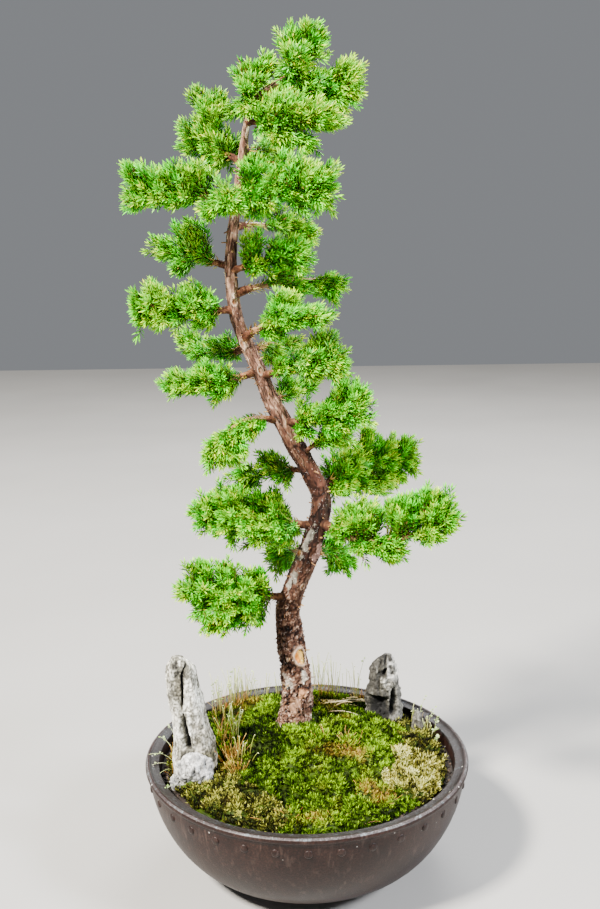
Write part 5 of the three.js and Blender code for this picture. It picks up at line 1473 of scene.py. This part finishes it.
def leafy(start, control, end, whorls, leaf_length, rng, age, hue, bare_radius=0.6):
    """Leafy shoots: a thin twig along each curve, and whorls of three needles over its last
    stretch, each whorl turned half a step from the one before. Needles lie closer to the twig,
    shorter and yellower towards its tip. `age` goes from 0, fresh, to 1, old and dark: old needles
    have darker greens and are also painted darker, as shade deep in their pad; `hue` picks along
    each row of greens. Each needle is painted dark at its root, as shade, and light at its tip, as
    a highlight; inner needles are painted in shade and outer ones lit, and shoots and needles are
    painted lit or shaded at random."""
    count = len(start)
    straight = np.linalg.norm(end - start, axis=-1)
    leafy_share = np.minimum(leaf_length / straight, 0.94)
    along = (np.arange(whorls) + rng.uniform(0.1, 0.6, (count, 1))) / whorls
    shares = 1 - leafy_share[:, None] * (1 - along)
    paths = bezier(start, control, end, shares)
    ahead, first, second = frames(paths)
    turn = (rng.uniform(0, TURN, (count, 1, 1)) + np.arange(whorls)[:, None] * TURN / 6
            + evenly(3) + rng.normal(0, 0.2, (count, whorls, 3)))
    out = swung(first[:, :, None], second[:, :, None], turn)
    fullness = level(along, NEEDLE_SIZES)[..., None]
    size = NEEDLE_LENGTH * fullness * rng.uniform(0.75, 1.15, (count, whorls, 3))
    lean = level(along, NEEDLE_LEANS)[..., None]
    lean = lean + rng.normal(0, 0.12, (count, whorls, 3))
    shade = np.clip(hue[:, None, None] + rng.normal(0, 0.1, size.shape), 0, 1)
    youth = np.clip(along[..., None] * 1.1 - age[:, None, None], 0, 1)
    body = blend(pick(OLD_GREENS, shade), pick(FRESH_GREENS, shade), 0.2 + 0.8 * youth)
    tip = blend(pick(FRESH_GREENS, shade), pick(TIP_GREENS, shade), 0.25 + 0.9 * youth)
    dry = rng.random(size.shape) < 0.3 * np.clip(age[:, None, None] - along[..., None] + 0.1, 0, 1)
    husk = pick(DRY_NEEDLES, rng.random(size.shape))
    body = np.where(dry[..., None], husk * 0.8, body)
    tip = np.where(dry[..., None], husk, tip)
    # Painted light: each shoot and needle lit or shaded at random, inner needles in shade and outer
    # ones lit, and shoots deep in their pad darker.
    light = (rng.uniform(0.75, 1.2, (count, 1, 1)) * rng.uniform(0.55, 1.3, size.shape)
             * level(along, NEEDLE_PAINTED_LIGHT)[..., None])[..., None]
    light = light * (1 - 0.4 * age[:, None, None, None])
    needles = blades(paths[:, :, None], ahead[:, :, None], out, size, lean, NEEDLE_WIDTH,
                     body * light * NEEDLE_ROOT_PAINTED_SHADE, np.clip(tip * light * NEEDLE_TIP_PAINTED_HIGHLIGHT, 0, 1), 0.14, 0.5)
    steps = np.linspace(0, 1, 3)
    twig_path = bezier(start, control, end, steps * 0.97)
    radii = bare_radius * (1 - 0.6 * steps) * np.ones((count, 1))
    wood = blend(linear(0x9A7040), linear(0x7E9A3A), steps * 1.3)[None, :, None]
    return merged(needles, closed_skins(around_paths(twig_path, radii, 3), wood))


def pad_tips(name, limb, rng):
    """Where the main shoots of a limb end: evenly over each pad and tuft by the golden angle, and
    a third as many inside it. Returns the tips, and how deep each is in its pad, from 0 to 1."""
    root, control, tip, _, _, _ = limb_curve(limb)
    pads = [(*(bezier(root, control, tip, np.array([share]))[0] + (0, 0, lift)), *half)
            for share, lift, *half in limb[3]]
    tips, depths = [], []
    for *centre, half_length, half_height in pads + TUFTS.get(name, []):
        area = 2 * TURN * half_length * (half_length + 2 * half_height) / 3
        outer = max(5, int(area / TIP_SPACING ** 2))
        count = outer + outer // 3
        order = np.arange(count) % outer + 0.5
        z = 1 - 2 * order / outer
        turn = order * GOLDEN_ANGLE + rng.uniform(0, TURN)
        flat = np.sqrt(1 - z * z)
        way = unit(points(flat * np.cos(turn), flat * np.sin(turn), z)
                   + rng.normal(0, 0.16, (count, 3)))
        inner = np.arange(count) >= outer
        reach = np.where(inner, rng.uniform(0.3, 0.68, count), rng.uniform(0.78, 1.1, count))
        half = np.maximum(np.array([half_length, half_length, half_height]) - TIP_MARGIN, 3)
        tips.append(np.array(centre) + way * reach[:, None] * half)
        depths.append(np.where(inner, 1 - reach, 0))
    return held(np.concatenate(tips)), np.concatenate(depths)


def held(ends):
    """Shoots' ends, kept a needle's length inside the tree's reach and under its top."""
    most = np.array([TREE_REACH, TREE_REACH, TREE_TOP]) - NEEDLE_LENGTH
    return np.clip(ends, [-most[0], -most[1], 0], most)


def build_spray(name, limb, order, needles):
    """A limb's foliage: its leafy stem, a main shoot from the stem to each place on its pads,
    rising out of a low sag, and two or three side shoots on each."""
    rng = np.random.default_rng(200 + order)
    root, control, tip, length, radius, wood_end = limb_curve(limb)
    tips, depth = pad_tips(name, limb, rng)
    shares = np.linspace(wood_end, 1 - TIP_MARGIN / length, 60)
    stem = bezier(root, control, tip, shares)
    gaps = np.linalg.norm(stem[None] - tips[:, None], axis=-1)
    nearest, away = gaps.argmin(1), gaps.min(1)
    back = np.sqrt(np.maximum(15.0 ** 2 - away ** 2, (0.6 * away) ** 2)) / length
    start_share = np.clip(shares[nearest] - back, wood_end, shares[-1])
    starts = bezier(root, control, tip, start_share)
    chord = np.linalg.norm(tips - starts, axis=-1, keepdims=True)
    keep = chord[:, 0] > 7
    starts, tips, depth, chord = starts[keep], tips[keep], depth[keep], chord[keep]
    bend = rng.normal(0, 0.07, (len(tips), 3)) * chord
    middles = (starts + tips) / 2 + bend - np.array([0, 0, 0.12]) * chord
    age = np.clip(depth * 1.4 + rng.normal(0.02, 0.1, len(tips)), 0, 1)
    limb_hue = level(tip[2], HUES) + rng.normal(0, 0.07)
    hue = np.clip(limb_hue + rng.normal(0, 0.2, len(tips)), 0, 1)
    skins = [leafy(starts, middles, tips, SHOOT_WHORLS, SHOOT_WHORLS * WHORL_SPACING, rng,
                   age, hue)]
    for position, side, carrying in SIDE_SHOOTS:
        some = rng.random(len(tips)) < carrying
        at = position + rng.normal(0, 0.05, some.sum())
        near = bezier(starts[some], middles[some], tips[some], points(at, at + 0.05))
        ahead = unit(near[:, 1] - near[:, 0])
        aside = unit(np.cross(ahead, [0, 0, 1]) * (side or 0.2)
                     + rng.normal(0, 0.35, ahead.shape) + (0, 0, 0.25 if side else 1))
        reach = rng.uniform(7.5, 11.5, (some.sum(), 1))
        ends = held(near[:, 0] + (ahead * 0.82 + aside * 0.62) * reach)
        turns = (near[:, 0] + ends) / 2 + ahead * reach * -0.04 + aside * reach * 0.07
        skins.append(leafy(near[:, 0], turns, ends, SIDE_WHORLS, SIDE_LEAFY, rng,
                           age[some], hue[some], 0.4))
    skins.append(stem_skin(root, control, tip, length, radius, wood_end, rng))
    piece("spray_" + name + "_needles", merged(*skins), needles, "foliage", "spray_" + name,
          soft_shade=False)


def stem_skin(root, control, tip, length, radius, wood_end, rng):
    """A limb's own stem past its bare wood: a thinning tube, with whorls of old needles that
    turn from dry to green along it."""
    last = 1 - 1.2 * NEEDLE_LENGTH / length
    shares = np.linspace(wood_end, last, 30)
    path = bezier(root, control, tip, shares)
    rings = around_paths(path[None], limb_radius(shares, radius)[None], 8)
    bark = blend(linear(0x8E6A4E), linear(0x86713C), (shares - wood_end) * 1.5)
    tube = closed_skins(rings, bark[None, :, None])
    whorls = int(length * (1 - wood_end) / 2.4)
    shares = np.linspace(wood_end - 3 / length, last, whorls)
    path = bezier(root, control, tip, shares)
    ahead, first, second = frames(path)
    turn = rng.uniform(0, TURN, (whorls, 4))
    out = swung(first[:, None], second[:, None], turn)
    share = np.linspace(0, 1, whorls)[:, None] + rng.normal(0, 0.2, (whorls, 4))
    tint = blend(pick(DRY_NEEDLES, rng.random((whorls, 4))),
                 pick(FRESH_GREENS, rng.random((whorls, 4))), smooth(share * 1.6))
    surface_point = path[:, None] + out * (limb_radius(shares, radius) * 0.8)[:, None, None]
    # Old needles are painted dark at their roots, as shade.
    old = blades(surface_point, ahead[:, None], out,
                 NEEDLE_LENGTH * rng.uniform(0.55, 0.85, (whorls, 4)),
                 rng.uniform(0.7, 1.2, (whorls, 4)), NEEDLE_WIDTH * 0.9, tint * 0.45, tint)
    return merged(tube, old)


def build_foliage():
    """The foliage of every limb."""
    # Juniper needles: waxy, with a soft sheen.
    needles = leaf("juniper_needle", 0.42, 0.18)
    for order, (name, limb) in enumerate(LIMBS.items()):
        build_spray(name, limb, order, needles)


# ---- Floor, light and camera ----

# What the lamps face, in metres; the camera's place is in millimetres.
TREE_MIDDLE = np.array([0, 0, 0.28])
SKY_STRENGTH = 0.29
# Lamps: name, place and width in metres, watts and colour.
LAMPS = [("key", (-1.4, -1.2, 2.2), 0.4, 430, 0xFFF8EE),
         ("side", (1.7, -0.8, 1.5), 0.5, 125, 0xF6F8FF),
         ("back", (0.4, 1.5, 1.7), 1.0, 60, 0xFFFFFF)]
FLOOR_HALF = 3.0
CAMERA_PLACE = (-2.4, -806.3, 512.0)
CAMERA_PITCH, CAMERA_ROLL = 12.3, -0.74
# The photograph's height and the camera's focal length, in pixels.
PHOTO_HEIGHT, FOCAL_PIXELS = 909, 1080
SENSOR = 36


def stand(data, right, up, back, place):
    """Puts a camera or a lamp in its place, in metres, by the three directions of its own axes."""
    made = bpy.data.objects.new(data.name, data)
    turn = np.eye(4)
    turn[:3] = points(right, up, back, place)
    made.matrix_world = Matrix(turn.tolist())
    bpy.context.scene.collection.objects.link(made)
    return made


def build_camera():
    """The photograph's view: level about X, then tipped down and rolled a little."""
    pitch, roll = np.radians([CAMERA_PITCH, CAMERA_ROLL])
    ahead = np.array([0, np.cos(pitch), -np.sin(pitch)])
    up = np.array([0, np.sin(pitch), np.cos(pitch)])
    right = np.array([1.0, 0, 0])
    across = np.cos(roll) * right + np.sin(roll) * up
    upright = np.cos(roll) * up - np.sin(roll) * right
    data = bpy.data.cameras.new("camera")
    data.sensor_fit = "VERTICAL"
    data.sensor_height = SENSOR
    data.lens = SENSOR * FOCAL_PIXELS / PHOTO_HEIGHT
    data.clip_start, data.clip_end = 0.05, 20
    bpy.context.scene.camera = stand(data, across, upright, -ahead, np.array(CAMERA_PLACE) * MM)


def soft_light(name, place, size, watts, code):
    """A square lamp that faces the middle of the tree."""
    data = bpy.data.lights.new(name, "AREA")
    data.size, data.energy, data.color = size, watts, linear(code)
    away = unit(np.array(place) - TREE_MIDDLE)
    right = unit(np.cross([0, 0, 1], away))
    stand(data, right, np.cross(away, right), away, place)


def build_studio():
    """A plain pale floor, a pale sky and three soft lamps."""
    mesh = bpy.data.meshes.new("floor")
    corners = [(-1, -1, 0), (1, -1, 0), (1, 1, 0), (-1, 1, 0)]
    mesh.from_pydata((np.array(corners) * FLOOR_HALF).tolist(), [], [(0, 1, 2, 3)])
    floor = bpy.data.objects.new("floor", mesh)
    material, tree, place, _ = blank("painted_floor")
    shade = add(tree, "ValToRGB", {0: pattern(tree, place, 400, 2)},
                [(0.3, rgba(0x9C9B98)), (0.7, rgba(0xA3A29F))])
    finish(tree, shade.outputs[0], 0.75)
    mesh.materials.append(material)
    bpy.context.scene.collection.objects.link(floor)
    world = bpy.data.worlds.new("studio")
    world.use_nodes = True
    sky = world.node_tree.nodes["Background"]
    sky.inputs["Color"].default_value = rgba(0xE6EAF0)
    sky.inputs["Strength"].default_value = SKY_STRENGTH
    bpy.context.scene.world = world
    for lamp in LAMPS:
        soft_light(*lamp)


build_camera()
build_pot()
build_screen()
build_soil()
build_moss()
build_stalks()
build_straw()
build_seedlings()
build_stones()
build_trunk()
build_foliage()
build_studio()
